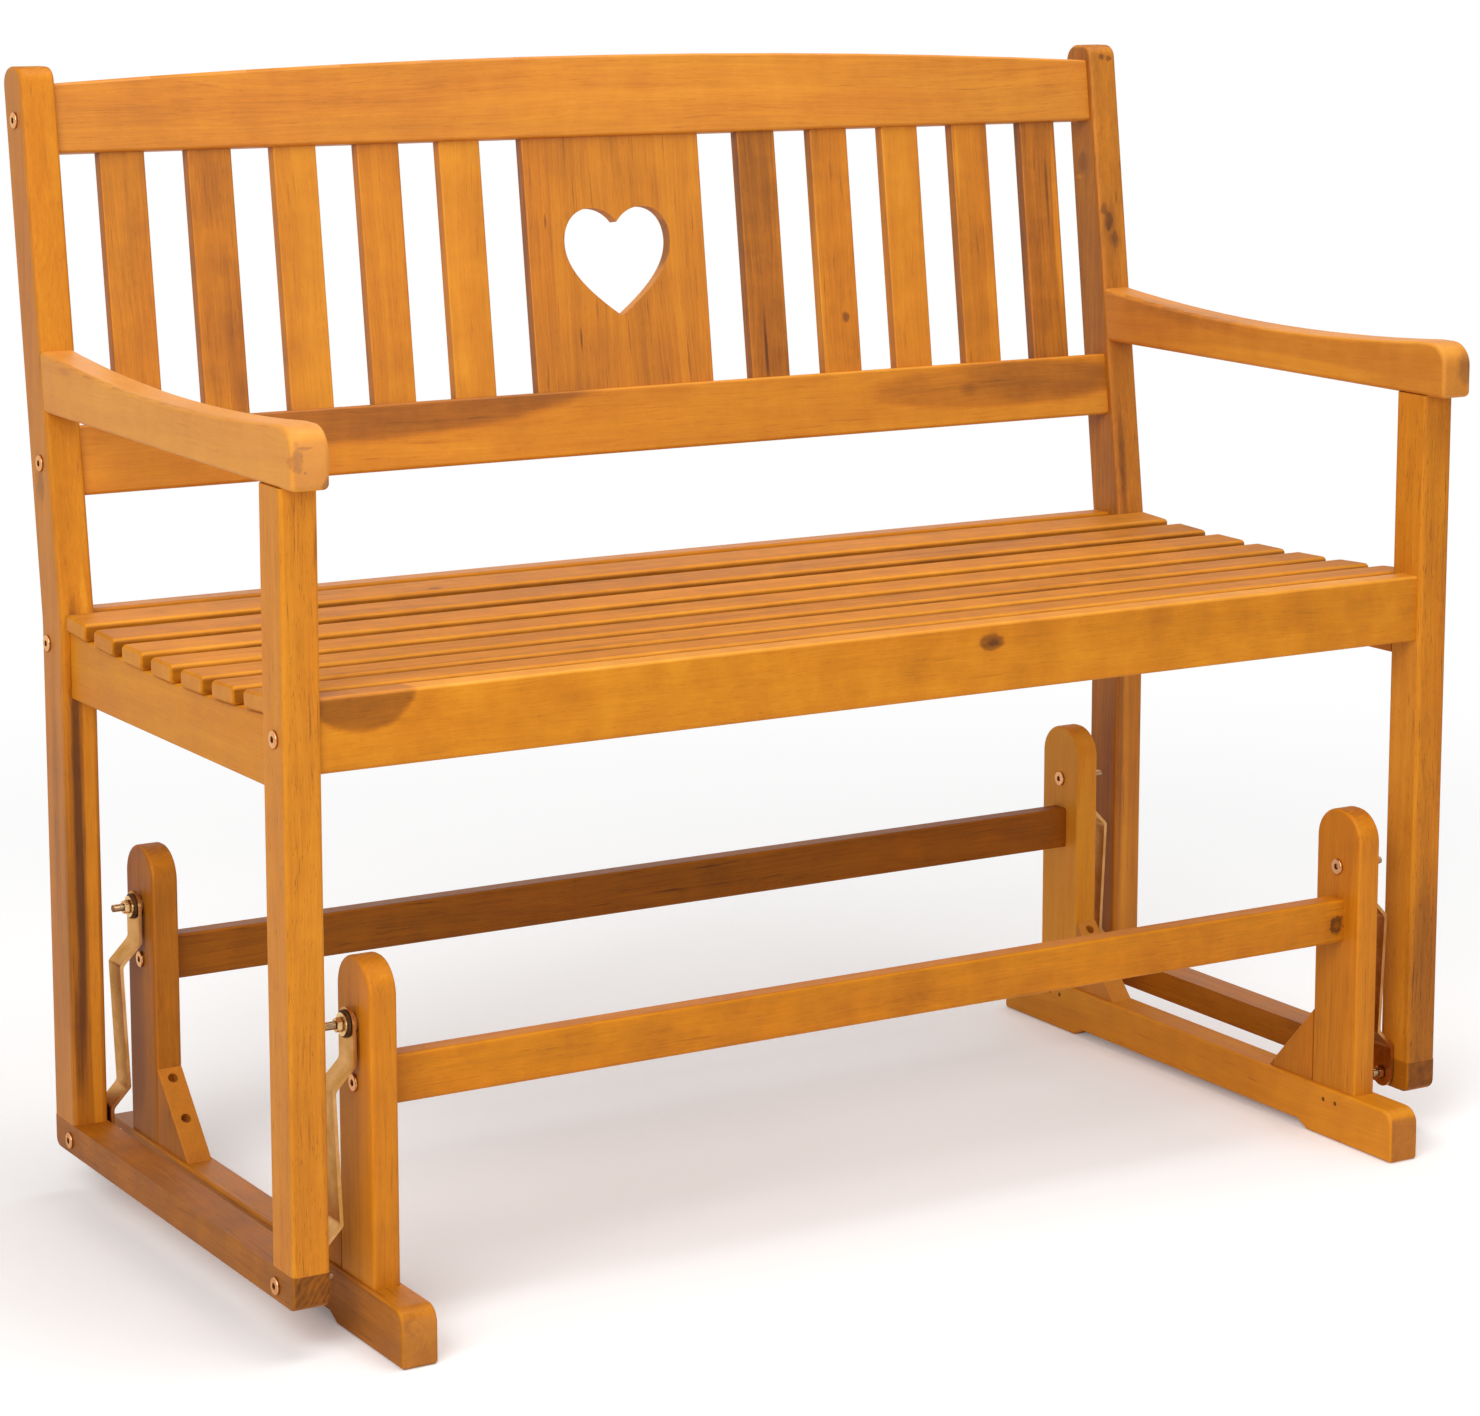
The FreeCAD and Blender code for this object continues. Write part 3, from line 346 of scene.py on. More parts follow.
def wood_material(
    name, grain, seed, tone, streaks=0.14, patches=0.18, clouds=0.12, flecks=0.12, pores=0.07, pale=0.0,
    matt=0.50, red=0.70, spots=(), faces=(), turn=(0.0, 0.0, 0.0), end=1.0, end_rings=0.02, end_tone=-0.04,
    specular=WOOD_SPECULAR,
):
    """Oiled wood along a grain direction, for one node.

    spots are (centre, size, wobble, soft rim, darkening); faces are (direction, painted shade, painted
    sheen) for the sides of the board on which light and shade are painted. Negative darkening or shade
    lightens, as a painted highlight.
    """
    material, tree = new_material("wood_" + name)
    coordinates = add(tree, "ShaderNodeTexCoord").outputs
    place = coordinates["Object"]
    leaned = add(tree, "ShaderNodeMapping", {"Vector": place, "Rotation": turn}).outputs[0]
    along = add(tree, "ShaderNodeMapping", {"Vector": leaned, "Rotation": GRAIN_TURNS[grain]}).outputs[0]
    along = vector_calc(tree, "ADD", along, tuple(seed * step for step in SEED_STEP))
    normal = add(tree, "ShaderNodeMapping", {"Vector": coordinates["Normal"], "Rotation": turn}).outputs[0]
    normal = add(tree, "ShaderNodeMapping", {"Vector": normal, "Rotation": GRAIN_TURNS[grain]}).outputs[0]
    facing = calc(tree, "ABSOLUTE", vector_calc(tree, "DOT_PRODUCT", normal, (1.0, 0.0, 0.0)))
    end_share = remap(tree, facing, *END_FACING, 0.0, end, smooth=True)
    # rounded edges, which get a painted highlight, are the places whose normal lies along no axis
    sides = vector_calc(tree, "ABSOLUTE", normal)
    sides = add(tree, "ShaderNodeSeparateXYZ", {0: sides}).outputs
    largest = calc(tree, "MAXIMUM", calc(tree, "MAXIMUM", sides["X"], sides["Y"]), sides["Z"])
    edge_highlight = remap(tree, largest, *EDGE_FACING, smooth=True)
    upwards = add(tree, "ShaderNodeSeparateXYZ", {0: coordinates["Normal"]}).outputs["Z"]
    upwards = remap(tree, upwards, *UNDERSIDE_UPWARDS, UNDERSIDE_HIGHLIGHT_SHARE, 1.0, smooth=True)
    edge_highlight = calc(tree, "MULTIPLY", edge_highlight, upwards)
    dark = 0.0
    for centre, size, wobble, soft, depth in spots:
        share = calc(tree, "MULTIPLY", spot(tree, place, centre, size, wobble, soft), depth)
        dark = calc(tree, "ADD", dark, share)
    # painted light and shade on the listed faces: a positive darkening is painted shade, as in the gaps
    # between slats, a negative one a painted highlight, as on tops and upper front edges, and the sheen
    # paints them paler
    for direction, depth, painted_sheen in faces:
        towards = vector_calc(tree, "DOT_PRODUCT", coordinates["Normal"], direction)
        share = remap(tree, towards, *NAMED_FACING, smooth=True)
        dark = calc(tree, "ADD", dark, calc(tree, "MULTIPLY", share, depth))
        pale = calc(tree, "ADD", pale, calc(tree, "MULTIPLY", share, painted_sheen))
    inputs = {
        "Vector": along,
        "Tone": tone,
        "Streaks": streaks,
        "Patches": patches,
        "Clouds": clouds,
        "Flecks": flecks,
        "Pores": pores,
        "Pale": pale,
        "Matt": matt,
        "Red": red,
        "Dark": dark,
        "End": end_share,
        "End Rings": end_rings,
        "End Tone": end_tone,
        "Edge Highlight": edge_highlight,
    }
    wood = add(tree, "ShaderNodeGroup", inputs, node_tree=wood_group).outputs
    bump = add(tree, "ShaderNodeBump", {"Height": wood["Height"], **WOOD_BUMP})
    finish_material(tree, {
        "Base Color": wood["Color"],
        "Roughness": wood["Roughness"],
        "Specular IOR Level": specular,
        "Normal": bump.outputs[0],
    })
    return material


def metal_material(name, colour, tint, roughness):
    """Plated steel with faint clouds of colour, fine rubbed scratches and painted shade in its recesses."""
    material, tree = new_material(name)
    place = add(tree, "ShaderNodeTexCoord").outputs["Object"]
    clouds = remap(tree, noise(tree, place, METAL_CLOUDS, 3.0), *METAL_CLOUD_RANGE)
    scratches = noise(tree, place, METAL_SCRATCHES, 3.0)
    mixed = mix_colours(tree, clouds, (*colour, 1.0), (*tint, 1.0))
    # painted shade: darker where ambient occlusion finds other faces close by, as in the sockets of bolt
    # heads
    recess = add(tree, "ShaderNodeAmbientOcclusion", {"Distance": RECESS_SHADE_REACH}, samples=6).outputs["AO"]
    shaded = mix_colours(tree, remap(tree, recess, *RECESS_SHADE_RANGE, 0.0, RECESS_SHADE_SHARE), mixed, RECESS_SHADE)
    bump = add(tree, "ShaderNodeBump", {"Height": scratches, **METAL_BUMP})
    finish_material(tree, {
        "Base Color": shaded,
        "Metallic": 1.0,
        "Roughness": calc(tree, "ADD", centred(tree, scratches, SCRATCH_ROUGHNESS), roughness),
        "Specular Tint": METAL_EDGE,
        "Normal": bump.outputs[0],
    })
    return material


def nylon_material():
    """Dark moulded nylon with a fine matt texture."""
    material, tree = new_material("dark_nylon")
    place = add(tree, "ShaderNodeTexCoord").outputs["Object"]
    grain = noise(tree, place, NYLON_GRAIN, 3.0)
    bump = add(tree, "ShaderNodeBump", {"Height": grain, **NYLON_BUMP})
    finish_material(tree, {
        "Base Color": ramp(tree, grain, tuple(zip(NYLON_RANGE, NYLON_COLOURS))),
        "Roughness": remap(tree, grain, *NYLON_RANGE, *NYLON_ROUGHNESS),
        "Specular IOR Level": NYLON_SPECULAR,
        "Normal": bump.outputs[0],
    })
    return material


def dress(node, material):
    """Give a CAD node its one material."""
    mesh = nodes[node].data
    mesh.materials.clear()
    mesh.materials.append(material)


# The back leans by this angle, and the grain of its boards with it.
LEAN_DEGREES = 7.545
LEAN = (math.radians(LEAN_DEGREES), 0.0, 0.0)
FRONT = (0.0, -1.0, 0.0)
BACK = (0.0, 1.0, 0.0)
LEFT = (-1.0, 0.0, 0.0)
TOP = (0.0, 0.0, 1.0)
UPPER_FRONT = (0.0, -0.7071, 0.7071)
BACK_SPECULAR = 0.42
BACK_SLAT_SPECULAR = 0.36
SEAT_SLAT_SPECULAR = 0.10

# Every wooden node: its grain, tone and figure, its knots and dark or pale patches, and the painted shade,
# highlight and sheen of its faces.
WOOD = {
    "back_top_rail": dict(
        grain="x", tone=0.604, streaks=0.34, patches=0.24, clouds=0.18, turn=LEAN,
        specular=BACK_SPECULAR, pale=0.04,
        spots=(((0.06, 0.262, 0.905), (0.300, 0.080, 0.090), 0.30, 0.80, -0.05),),
    ),
    "back_lower_rail": dict(
        grain="x", tone=0.650, streaks=0.20, patches=0.20, clouds=0.18, turn=LEAN, specular=0.30, pale=0.04,
        spots=(
            ((-0.270, 0.220, 0.667), (0.275, 0.080, 0.051), 0.18, 0.14, 0.23),
            ((-0.200, 0.217, 0.607), (0.150, 0.080, 0.012), 0.50, 0.90, -0.05),
            ((0.400, 0.219, 0.627), (0.165, 0.080, 0.024), 0.36, 0.30, 0.15),
            ((0.465, 0.219, 0.638), (0.130, 0.080, 0.032), 0.40, 0.40, 0.09),
            ((0.360, 0.219, 0.625), (0.016, 0.030, 0.008), 0.60, 0.80, 0.10),
        ),
    ),
    "back_panel": dict(
        grain="z", tone=0.567, streaks=0.40, patches=0.24, clouds=0.14, flecks=0.16, turn=LEAN,
        specular=BACK_SPECULAR, faces=((LEFT, 0.16, 0.0),),
        spots=(
            ((-0.0433, 0.234, 0.693), (0.0016, 0.02, 0.014), 0.3, 0.8, 0.28),
            ((-0.0713, 0.248, 0.797), (0.0018, 0.02, 0.009), 0.3, 0.8, 0.24),
            ((-0.03, 0.230, 0.670), (0.12, 0.05, 0.07), 0.4, 0.8, 0.05),
        ),
    ),
    "front_seat_rail": dict(
        grain="x", tone=0.590, streaks=0.10, patches=0.16, clouds=0.26, flecks=0.06, specular=0.18, red=0.4,
        faces=((TOP, -0.08, 0.06), (UPPER_FRONT, -0.10, 0.10)),
        spots=(
            ((-0.484, -0.236, 0.505), (0.048, 0.05, 0.037), 0.24, 0.16, 0.22),
            ((-0.500, -0.236, 0.490), (0.040, 0.05, 0.016), 0.60, 0.60, 0.05),
            ((-0.300, -0.236, 0.4990), (0.180, 0.05, 0.016), 0.50, 0.90, -0.04),
            ((0.0745, -0.236, 0.4843), (0.0135, 0.03, 0.0088), 0.60, 0.35, 0.24),
            ((0.0760, -0.236, 0.4840), (0.0070, 0.03, 0.0045), 1.20, 0.70, 0.12),
            ((0.0900, -0.236, 0.4830), (0.0500, 0.03, 0.0060), 0.50, 0.90, 0.06),
        ),
    ),
    "rear_seat_rail": dict(grain="x", tone=0.54, streaks=0.20),
    "seat_centre_bearer": dict(grain="y", tone=0.50),
    "front_stretcher": dict(
        grain="x", tone=0.539, streaks=0.14, patches=0.20, clouds=0.22, flecks=0.08, specular=0.16,
        spots=(
            ((0.4523, -0.219, 0.1959), (0.0085, 0.02, 0.0100), 1.40, 0.40, 0.26),
            ((0.4528, -0.219, 0.1952), (0.0045, 0.02, 0.0040), 1.00, 0.60, -0.10),
            ((0.4518, -0.219, 0.1965), (0.0160, 0.02, 0.0150), 0.50, 0.90, 0.08),
        ),
    ),
    "rear_stretcher": dict(grain="x", tone=0.332, streaks=0.20, patches=0.14, specular=0.12),
    "rear_post_left": dict(
        grain="z", tone=0.530, streaks=0.26, patches=0.22,
        faces=((FRONT, -0.09, 0.02), (LEFT, 0.0, 0.15)),
        spots=(
            ((-0.5360, 0.193, 0.220), (0.0200, 0.012, 0.340), 0.20, 0.40, 0.16),
            ((-0.5285, 0.193, 0.300), (0.0055, 0.012, 0.400), 0.40, 0.30, -0.16),
            ((-0.5390, 0.193, 0.330), (0.0055, 0.010, 0.330), 0.60, 0.60, 0.26),
            ((-0.5440, 0.193, 0.140), (0.0050, 0.010, 0.070), 0.60, 0.60, 0.16),
            ((-0.5500, 0.215, 0.250), (0.0050, 0.030, 0.260), 0.30, 0.60, 0.06),
            ((-0.5510, 0.230, 0.600), (0.0040, 0.012, 0.020), 0.80, 0.70, 0.16),
            ((-0.5510, 0.215, 0.330), (0.0040, 0.010, 0.200), 0.50, 0.80, 0.12),
        ),
    ),
    "rear_post_right": dict(
        grain="z", tone=0.492, streaks=0.34, patches=0.26, specular=0.30, pale=0.03, red=0.3,
        faces=((LEFT, 0.06, 0.0), (FRONT, -0.01, 0.0)),
        spots=(
            ((0.5245, 0.2335, 0.7860), (0.0050, 0.020, 0.0060), 1.40, 0.50, 0.16),
            ((0.5302, 0.2320, 0.7735), (0.0065, 0.020, 0.0120), 1.40, 0.50, 0.17),
            ((0.5350, 0.2300, 0.7590), (0.0060, 0.020, 0.0110), 1.40, 0.60, 0.17),
            ((0.5325, 0.2320, 0.7680), (0.0140, 0.020, 0.0300), 0.80, 0.80, 0.07),
            ((0.5195, 0.2615, 0.8290), (0.0050, 0.009, 0.0130), 0.80, 0.60, 0.14),
            ((0.5195, 0.2670, 0.8150), (0.0050, 0.006, 0.0030), 0.80, 0.60, -0.12),
            ((0.5333, 0.2530, 0.9290), (0.0040, 0.020, 0.0035), 1.20, 0.60, 0.20),
            ((0.5415, 0.2525, 0.9275), (0.0045, 0.020, 0.0035), 1.20, 0.60, 0.22),
            ((0.5275, 0.205, 0.5500), (0.0050, 0.030, 0.075), 0.50, 0.70, 0.20),
            ((0.5235, 0.190, 0.2500), (0.0050, 0.012, 0.260), 0.50, 0.60, 0.14),
            ((0.5310, 0.190, 0.2500), (0.0050, 0.012, 0.260), 0.30, 0.50, -0.10),
            ((0.5280, 0.200, 0.1800), (0.0400, 0.050, 0.320), 0.20, 0.30, -0.09),
        ),
    ),
    "armrest_left": dict(
        grain="y", tone=0.672, streaks=0.10, patches=0.16, clouds=0.18, flecks=0.08, pale=0.22, end=0.5,
        end_rings=0.008, end_tone=-0.06, faces=((FRONT, 0.08, 0.08), (LEFT, -0.04, 0.0)),
        spots=(
            ((-0.5495, 0.172, 0.700), (0.012, 0.018, 0.006), 0.60, 0.80, 0.13),
            ((-0.5330, -0.2610, 0.690), (0.0190, 0.012, 0.027), 0.60, 0.35, -0.06),
            ((-0.5455, -0.2610, 0.680), (0.0060, 0.012, 0.0110), 2.00, 0.40, 0.18),
            ((-0.5393, -0.2610, 0.6694), (0.0016, 0.012, 0.0014), 0.60, 0.60, 0.22),
            ((-0.5395, -0.2610, 0.6870), (0.0080, 0.012, 0.0016), 1.60, 0.50, 0.20),
            ((-0.5215, -0.2610, 0.6590), (0.0070, 0.012, 0.0065), 1.20, 0.50, 0.26),
        ),
    ),
    "armrest_right": dict(
        grain="y", tone=0.600, streaks=0.18, patches=0.26, clouds=0.18, flecks=0.08, pale=0.13, end=0.5,
        end_rings=0.008, end_tone=-0.02, red=0.2, faces=((FRONT, 0.05, 0.0), (UPPER_FRONT, -0.06, 0.06)),
        spots=(
            ((0.515, -0.020, 0.6660), (0.03, 0.210, 0.0100), 0.40, 0.50, -0.14),
            ((0.515, 0.080, 0.7000), (0.03, 0.150, 0.0170), 0.50, 0.60, 0.11),
            ((0.545, -0.262, 0.6820), (0.013, 0.020, 0.0190), 1.00, 0.60, 0.18),
        ),
    ),
    "front_leg_left": dict(
        grain="z", tone=0.590, streaks=0.30, patches=0.16, flecks=0.20, pores=0.18, red=0.9,
        faces=((LEFT, -0.02, 0.07), (FRONT, 0.0, 0.02)),
    ),
    "front_leg_right": dict(
        grain="z", tone=0.532, streaks=0.32, patches=0.22, flecks=0.20, pores=0.22,
        faces=((LEFT, -0.09, 0.04),),
        spots=(((0.535, -0.238, 0.120), (0.030, 0.012, 0.160), 0.30, 0.60, 0.13),),
    ),
    "seat_side_rail_left": dict(
        grain="y", tone=0.632, streaks=0.06, patches=0.16, clouds=0.14, flecks=0.04
    ),
    "seat_side_rail_right": dict(grain="y", tone=0.60, streaks=0.10),
    "bottom_rail_left": dict(
        grain="y", tone=0.405, streaks=0.18, clouds=0.24, red=0.5, end_rings=0.040, end_tone=-0.12
    ),
    "bottom_rail_right": dict(
        grain="y", tone=0.46, streaks=0.16, clouds=0.16, red=0.4, end_rings=0.012, end_tone=-0.20
    ),
    "foot_rail_left": dict(
        grain="y", tone=0.464, streaks=0.14, clouds=0.18, end=0.6, end_rings=0.008,
        faces=((FRONT, -0.01, 0.10), (LEFT, 0.04, 0.0)),
        spots=(
            ((-0.4770, -0.2860, 0.0335), (0.0110, 0.020, 0.0110), 1.80, 0.50, 0.07),
            ((-0.4755, -0.2860, 0.0320), (0.0075, 0.020, 0.0070), 2.00, 0.50, -0.09),
            ((-0.4745, -0.2860, 0.0300), (0.0030, 0.020, 0.0030), 2.00, 0.60, 0.08),
        ),
    ),
    "foot_rail_right": dict(
        grain="y", tone=0.640, streaks=0.18, clouds=0.18, end=0.6, end_rings=0.010,
        faces=((FRONT, 0.18, 0.08), (LEFT, -0.04, 0.0)),
    ),
    "base_post_front_left": dict(
        grain="z", tone=0.550, streaks=0.26, patches=0.16, faces=((LEFT, -0.09, 0.0),)
    ),
    "base_post_front_right": dict(grain="z", tone=0.562, streaks=0.28, patches=0.18),
    "base_post_rear_left": dict(grain="z", tone=0.440, streaks=0.16, patches=0.14),
    "base_post_rear_right": dict(
        grain="z", tone=0.735, streaks=0.14, patches=0.10, red=3.0,
        faces=((LEFT, -0.10, 0.0),),
    ),
    "gusset_front_left": dict(grain="z", tone=0.55),
    "gusset_front_right": dict(grain="z", tone=0.52),
    "gusset_rear_left": dict(grain="z", tone=0.480, pale=0.05),
    "gusset_rear_right": dict(grain="z", tone=0.58, pale=0.12),
    "tenon_pins": dict(grain="x", tone=0.25),
}
# Tones and streaks of the back slats from left to right, and the spots that some of them have.
BACK_SLATS = (
    (0.537, 0.32), (0.514, 0.36), (0.635, 0.24), (0.556, 0.34), (0.645, 0.22),
    (0.455, 0.44), (0.542, 0.40), (0.605, 0.24), (0.542, 0.32), (0.455, 0.44),
)
BACK_SLAT_SPOTS = {
    6: (((0.1461, 0.232, 0.672), (0.0024, 0.02, 0.045), 0.40, 0.80, 0.26),),
    7: (
        ((0.2339, 0.235, 0.6979), (0.0050, 0.02, 0.0065), 0.60, 0.60, 0.28),
        ((0.2065, 0.240, 0.730), (0.0045, 0.02, 0.11), 0.40, 0.60, -0.12),
    ),
    9: (((0.3675, 0.250, 0.840), (0.0025, 0.02, 0.06), 0.40, 0.60, -0.14),),
    10: (
        ((0.4770, 0.243, 0.770), (0.0042, 0.02, 0.12), 0.60, 0.50, -0.17),
        ((0.4680, 0.250, 0.800), (0.0022, 0.02, 0.05), 0.60, 0.60, 0.16),
    ),
}
# The same for the seat slats from the rear, which are lighter towards their left ends.
SEAT_SLATS = (
    (0.53, 0.38), (0.48, 0.42), (0.55, 0.38), (0.54, 0.36), (0.50, 0.42), (0.52, 0.40), (0.52, 0.42),
)
SEAT_SLAT_SPOTS = {
    1: (((-0.2267, 0.1600, 0.497), (0.010, 0.005, 0.02), 0.60, 0.70, 0.24),),
    2: (((0.3400, 0.1300, 0.497), (0.040, 0.006, 0.02), 0.60, 0.70, 0.16),),
}
SEAT_SLAT_LEFT_END = ((-0.520, 0.0, 0.497), (0.300, 0.500, 0.100), 0.30, 0.90, -0.04)
# The back slats get painted shade on their left sides, which face into the gaps between them.
for number, (tone, streaks) in enumerate(BACK_SLATS, 1):
    WOOD["back_slat_%d" % number] = dict(
        grain="z", tone=tone, streaks=streaks, patches=0.36, clouds=0.22, turn=LEAN,
        specular=BACK_SLAT_SPECULAR, pale=0.01, red=0.5, faces=((LEFT, 0.09, 0.0),),
        spots=BACK_SLAT_SPOTS.get(number, ()),
    )
# The seat slats get painted shade on their front and back sides, in the gaps between them, a painted
# highlight on their left ends and upper front edges, and a painted sheen there and on their tops.
for number, (tone, streaks) in enumerate(SEAT_SLATS, 1):
    WOOD["seat_slat_%d" % number] = dict(
        grain="x", tone=tone, streaks=streaks, clouds=0.20, end=0.7, end_rings=0.012, matt=0.60, red=0.15,
        specular=SEAT_SLAT_SPECULAR,
        faces=(
            (FRONT, 0.15, 0.0), (BACK, 0.15, 0.0), (LEFT, -0.07, 0.30), (TOP, 0.01, 0.10),
            (UPPER_FRONT, -0.10, 0.10),
        ),
        spots=(SEAT_SLAT_LEFT_END, *SEAT_SLAT_SPOTS.get(number, ())),
    )
# Each node takes its number in alphabetical order as the seed of its figure.
for seed, (node, settings) in enumerate(sorted(WOOD.items()), 1):
    dress(node, wood_material(node, seed=float(seed), **settings))

# Zinc plate with a yellow passivation: the colour, a paler tint of it in clouds, and the roughness.
strap_metal = metal_material("yellow_zinc_strap", (0.50, 0.240, 0.060), (0.66, 0.355, 0.145), 0.30)
bolt_metal = metal_material("yellow_zinc_bolt", (0.72, 0.34, 0.15), (0.82, 0.45, 0.23), 0.26)
nut_metal = metal_material("yellow_zinc_nut", (0.66, 0.42, 0.19), (0.86, 0.60, 0.32), 0.22)
thread_metal = metal_material("zinc_thread", (0.42, 0.28, 0.15), (0.58, 0.40, 0.23), 0.30)
METAL = {
    strap_metal: ("hanger_front_left", "hanger_front_right", "hanger_rear_left", "hanger_rear_right"),
    bolt_metal: (
        "stretcher_bolts", "seat_frame_bolts", "upper_pivot_bolts", "lower_pivot_bolts",
        "gusset_screws", "leg_screws",
    ),
    nut_metal: (
        "upper_pivot_nuts", "lower_pivot_nuts", "upper_pivot_spacers", "lower_pivot_washers",
        "upper_pivot_washers",
    ),
    nylon_material(): ("upper_pivot_glide_rings",),
}
for material, names in METAL.items():
    for node in names:
        dress(node, material)


# Screw threads on the free ends of the pivot bolts, wound just outside the plain shanks. In metres.
THREAD_PITCH = 0.0010
THREAD_ROOT = 0.00302
THREAD_DEPTH = 0.00022
THREAD_POINTS_AROUND = 28
THREAD_RINGS_PER_TURN = 8
THREAD_TIP = 0.0003
THREAD_TIP_RADIUS = 0.0026
PIVOT_PLACES = (("front", -0.208516), ("rear", 0.203484))
UPPER_PIVOT_Z = 0.245
LOWER_PIVOT_Z = 0.052
# Inner faces of the lower pivot nuts, and the free ends of their bolts.
LOWER_NUT_INNER_X = 0.5102
LOWER_THREAD_END_X = 0.5050


def add_thread(name, body, nut_x, end_x, y, z):
    """A thread along X from the face of a nut to the free end of its bolt, with a chamfered tip."""
    shape = bmesh.new()
    outward = math.copysign(1.0, end_x - nut_x)
    count = round(abs(end_x - nut_x) / THREAD_PITCH * THREAD_RINGS_PER_TURN)
    around = [math.tau * step / THREAD_POINTS_AROUND for step in range(THREAD_POINTS_AROUND)]
    rows = []
    for number in range(count + 1):
        along = number / THREAD_RINGS_PER_TURN * THREAD_PITCH
        taper = min(1.0, (count - number) / THREAD_RINGS_PER_TURN)
        row = []
        for angle in around:
            ridge = 0.5 + 0.5 * math.cos(math.tau * along / THREAD_PITCH - angle)
            reach = THREAD_ROOT + THREAD_DEPTH * ridge * taper
            row.append(shape.verts.new((
                nut_x + outward * along,
                y + reach * math.cos(angle),
                z + reach * math.sin(angle),
            )))
        rows.append(row)
    tip = []
    for angle in around:
        tip.append(shape.verts.new((
            end_x + outward * THREAD_TIP,
            y + THREAD_TIP_RADIUS * math.cos(angle),
            z + THREAD_TIP_RADIUS * math.sin(angle),
        )))
    rows.append(tip)
    for row, next_row in zip(rows, rows[1:]):
        for step in range(THREAD_POINTS_AROUND):
            other = (step + 1) % THREAD_POINTS_AROUND
            face = shape.faces.new((row[step], row[other], next_row[other], next_row[step]))
            face.smooth = next_row is not tip
    shape.faces.new(tip)
    bmesh.ops.recalc_face_normals(shape, faces=shape.faces)
    mesh = bpy.data.meshes.new(name)
    shape.to_mesh(mesh)
    shape.free()
    piece = bpy.data.objects.new(name, mesh)
    bpy.context.scene.collection.objects.link(piece)
    mesh.materials.append(thread_metal)
    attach(piece, body)


upper_bolt_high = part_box("upper_pivot_bolts")[1]
upper_nut_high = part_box("upper_pivot_nuts")[1]
for side_name, side in (("right", 1.0), ("left", -1.0)):
    for place_name, pivot_y in PIVOT_PLACES:
        add_thread(
            "upper_thread_%s_%s" % (place_name, side_name), "base",
            side * upper_nut_high.x, side * upper_bolt_high.x, pivot_y, UPPER_PIVOT_Z,
        )
        add_thread(
            "lower_thread_%s_%s" % (place_name, side_name), "seat",
            side * LOWER_NUT_INNER_X, side * LOWER_THREAD_END_X, pivot_y, LOWER_PIVOT_Z,
        )


# Plain pale floor that keeps the bench's shadow and fades to white further out.
FLOOR_RADIUS = 14.0
FLOOR_SIDES = 96
FLOOR_DROP = 0.0002
FLOOR_COLOUR = (0.90, 0.90, 0.90, 1.0)
FLOOR_ROUGHNESS = 0.9
FLOOR_GLOW = 0.14
FLOOR_FADE = (0.9, 2.3)
# The way to the floor behind the bench, and how far out it turns white in reflections.
FLOOR_BEHIND = (-0.62, 0.78, 0.0)
FLOOR_BEHIND_FADE = (0.3, 1.8)
WHITE = (1.0, 1.0, 1.0, 1.0)
floor_mesh = bpy.data.meshes.new("floor")
shape = bmesh.new()
bmesh.ops.create_circle(shape, cap_ends=True, segments=FLOOR_SIDES, radius=FLOOR_RADIUS)
shape.to_mesh(floor_mesh)
shape.free()
floor = bpy.data.objects.new("floor", floor_mesh)
floor.location = (0.0, 0.0, -FLOOR_DROP)
bpy.context.scene.collection.objects.link(floor)
floor_material, tree = new_material("pale_floor")
floor_material.cycles.emission_sampling = "NONE"
path = add(tree, "ShaderNodeLightPath").outputs
seen = path["Is Camera Ray"]
place = add(tree, "ShaderNodeTexCoord").outputs["Object"]
behind = vector_calc(tree, "DOT_PRODUCT", place, FLOOR_BEHIND)
behind = remap(tree, behind, *FLOOR_BEHIND_FADE, smooth=True)
behind = calc(tree, "MULTIPLY", behind, path["Is Glossy Ray"])
far = remap(tree, vector_calc(tree, "LENGTH", place), *FLOOR_FADE, smooth=True)
far = calc(tree, "MAXIMUM", calc(tree, "MULTIPLY", far, seen), behind)
near_floor = add(
    tree,
    "ShaderNodeBsdfPrincipled",
    {
        "Base Color": FLOOR_COLOUR,
        "Roughness": FLOOR_ROUGHNESS,
        "Specular IOR Level": 0.0,
        "Emission Color": WHITE,
        "Emission Strength": calc(tree, "MULTIPLY", seen, FLOOR_GLOW),
    },
)
far_floor = add(tree, "ShaderNodeEmission", {"Color": WHITE, "Strength": 1.0})
shader = add(tree, "ShaderNodeMixShader", {0: far, 1: near_floor.outputs[0], 2: far_floor.outputs[0]})
add(tree, "ShaderNodeOutputMaterial", {"Surface": shader.outputs[0]})
floor_mesh.materials.append(floor_material)


# World: soft light from all round. The camera sees it as white, and so do reflections, except that
# the open side of the studio, in front of the bench, is dimmer than the white backdrop behind it.
WORLD_STRENGTH = 0.34
BACKDROP_SIDE = (-0.55, 0.70, 0.45)
BACKDROP_FADE = (-0.7, 0.2)
OPEN_SIDE_STRENGTH = 0.35
world = bpy.data.worlds.new("studio")
bpy.context.scene.world = world
world.use_nodes = True
world.cycles.sampling_method = "NONE"
tree = world.node_tree
tree.nodes.clear()
path = add(tree, "ShaderNodeLightPath").outputs
towards = add(tree, "ShaderNodeTexCoord").outputs["Generated"]
backdrop = vector_calc(tree, "DOT_PRODUCT", towards, BACKDROP_SIDE)
mirrored = remap(tree, backdrop, *BACKDROP_FADE, OPEN_SIDE_STRENGTH, 1.0, smooth=True)
mirrored = calc(tree, "MULTIPLY", mirrored, path["Is Glossy Ray"])
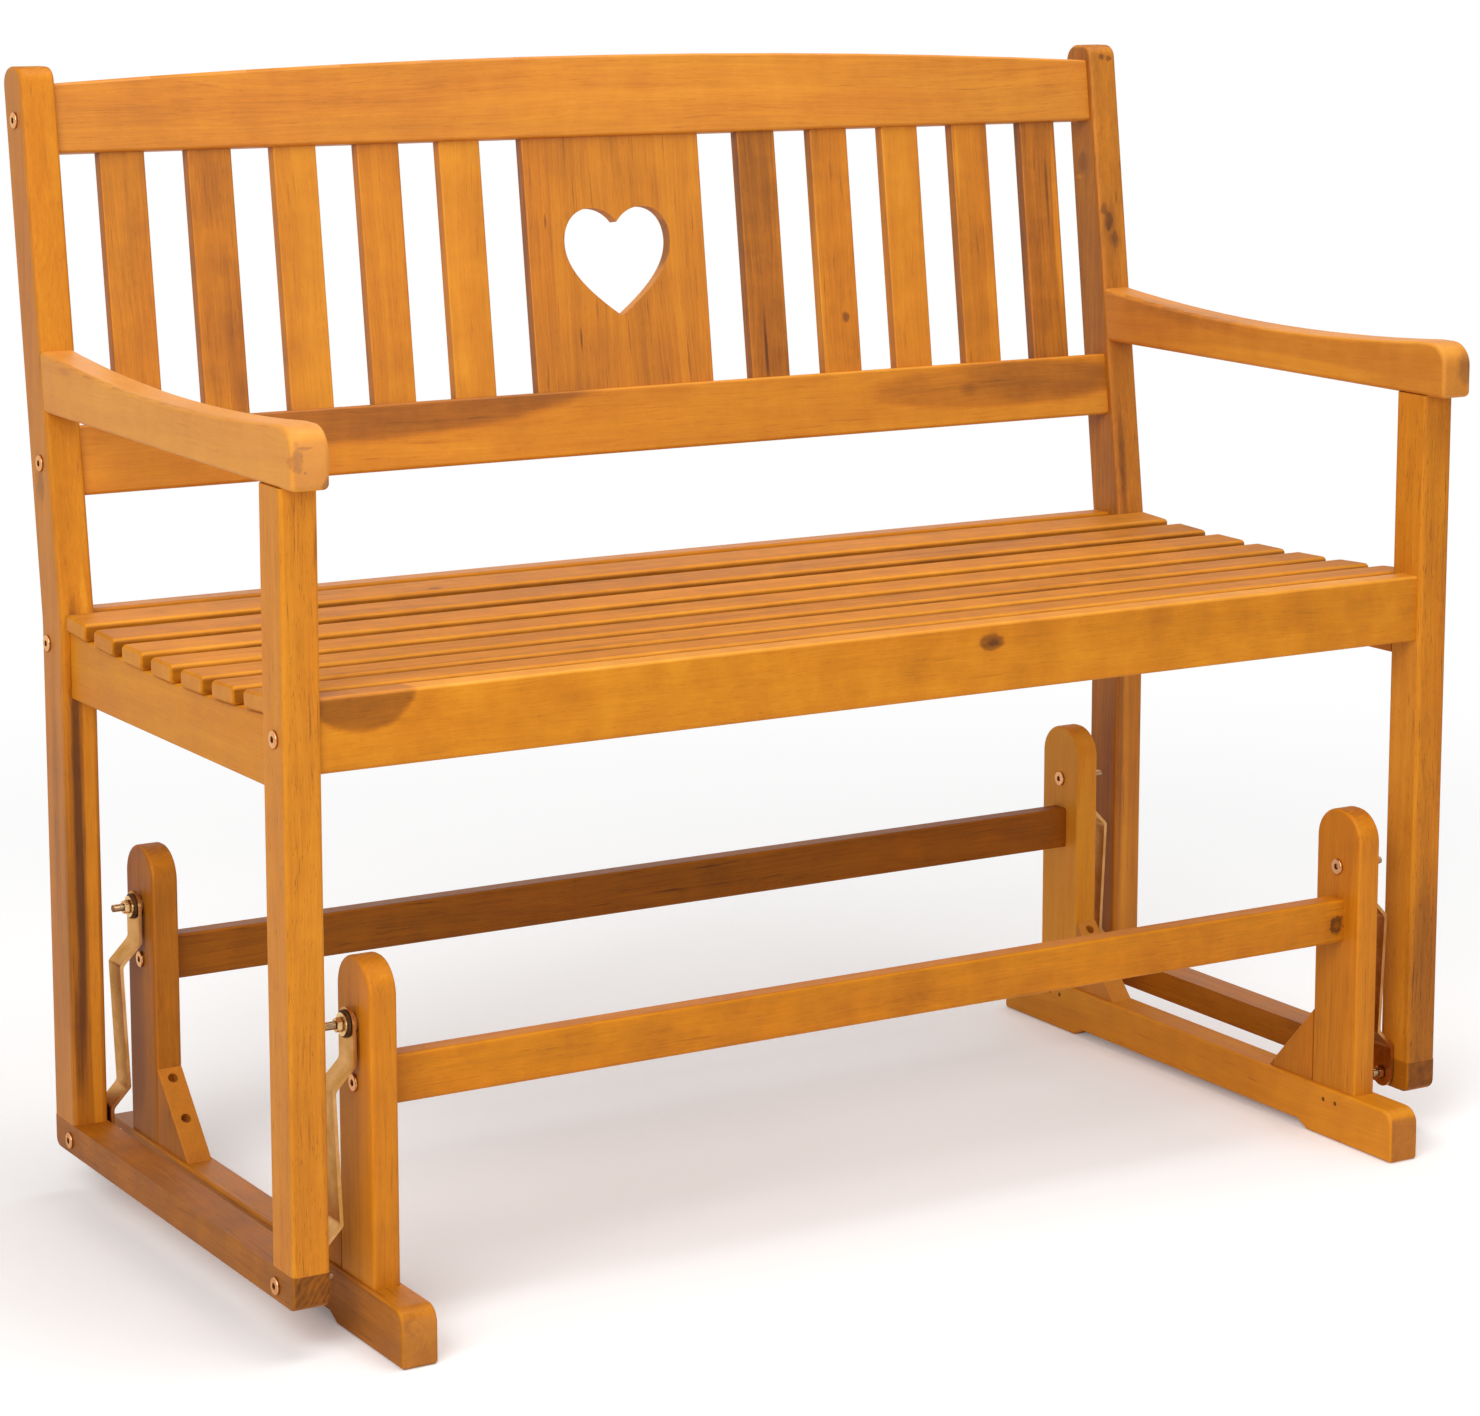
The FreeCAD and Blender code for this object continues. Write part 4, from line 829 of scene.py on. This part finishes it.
shown = calc(tree, "MAXIMUM", path["Is Camera Ray"], path["Is Transmission Ray"])
shown = calc(tree, "MAXIMUM", shown, mirrored)
lighting = calc(tree, "MULTIPLY", calc(tree, "SUBTRACT", 1.0, path["Is Glossy Ray"]), WORLD_STRENGTH)
strength = calc(tree, "MAXIMUM", shown, lighting)
background = add(tree, "ShaderNodeBackground", {"Color": WHITE, "Strength": strength})
add(tree, "ShaderNodeOutputWorld", {"Surface": background.outputs[0]})


# Softboxes: name, place, what they aim at, width and height in metres, and power in watts.
SOFTBOXES = (
    ("key", (-2.8, -2.2, 2.6), (0.0, 0.0, 0.45), (2.4, 2.4), 100.0),
    ("overhead", (0.5, -0.3, 3.3), (0.0, 0.0, 0.5), (2.6, 1.8), 58.0),
    ("front_fill", (0.9, -4.4, 1.5), (0.0, 0.0, 0.5), (3.0, 2.2), 37.0),
    ("back_fill", (1.4, 3.8, 2.2), (0.0, 0.0, 0.5), (2.6, 2.0), 18.0),
)


def softbox(name, place, aim, size, power):
    """A rectangular area light that points at its aim."""
    light = bpy.data.lights.new(name, "AREA")
    light.shape = "RECTANGLE"
    light.size, light.size_y = size
    light.energy = power
    box = bpy.data.objects.new(name, light)
    box.location = place
    box.rotation_mode = "QUATERNION"
    box.rotation_quaternion = (Vector(aim) - Vector(place)).to_track_quat("-Z", "Y")
    bpy.context.scene.collection.objects.link(box)


for softbox_settings in SOFTBOXES:
    softbox(*softbox_settings)


# The camera looks down by its pitch, turned from the front of the bench by its azimuth.
camera_data = bpy.data.cameras.new("camera")
camera_data.sensor_fit = "HORIZONTAL"
camera_data.sensor_width = SENSOR_WIDTH
camera_data.lens = CAMERA_LENS
camera_data.shift_y = CAMERA_SHIFT_Y
camera = bpy.data.objects.new("camera", camera_data)
bpy.context.scene.collection.objects.link(camera)
camera.location = CAMERA_PLACE
camera.rotation_mode = "QUATERNION"
turn = math.radians(CAMERA_AZIMUTH)
pitch = math.radians(CAMERA_PITCH)
looking = Vector((
    -math.sin(turn) * math.cos(pitch),
    math.cos(turn) * math.cos(pitch),
    -math.sin(pitch),
))
camera.rotation_quaternion = looking.to_track_quat("-Z", "Y")
bpy.context.scene.camera = camera

bpy.context.scene.view_settings.view_transform = "Standard"
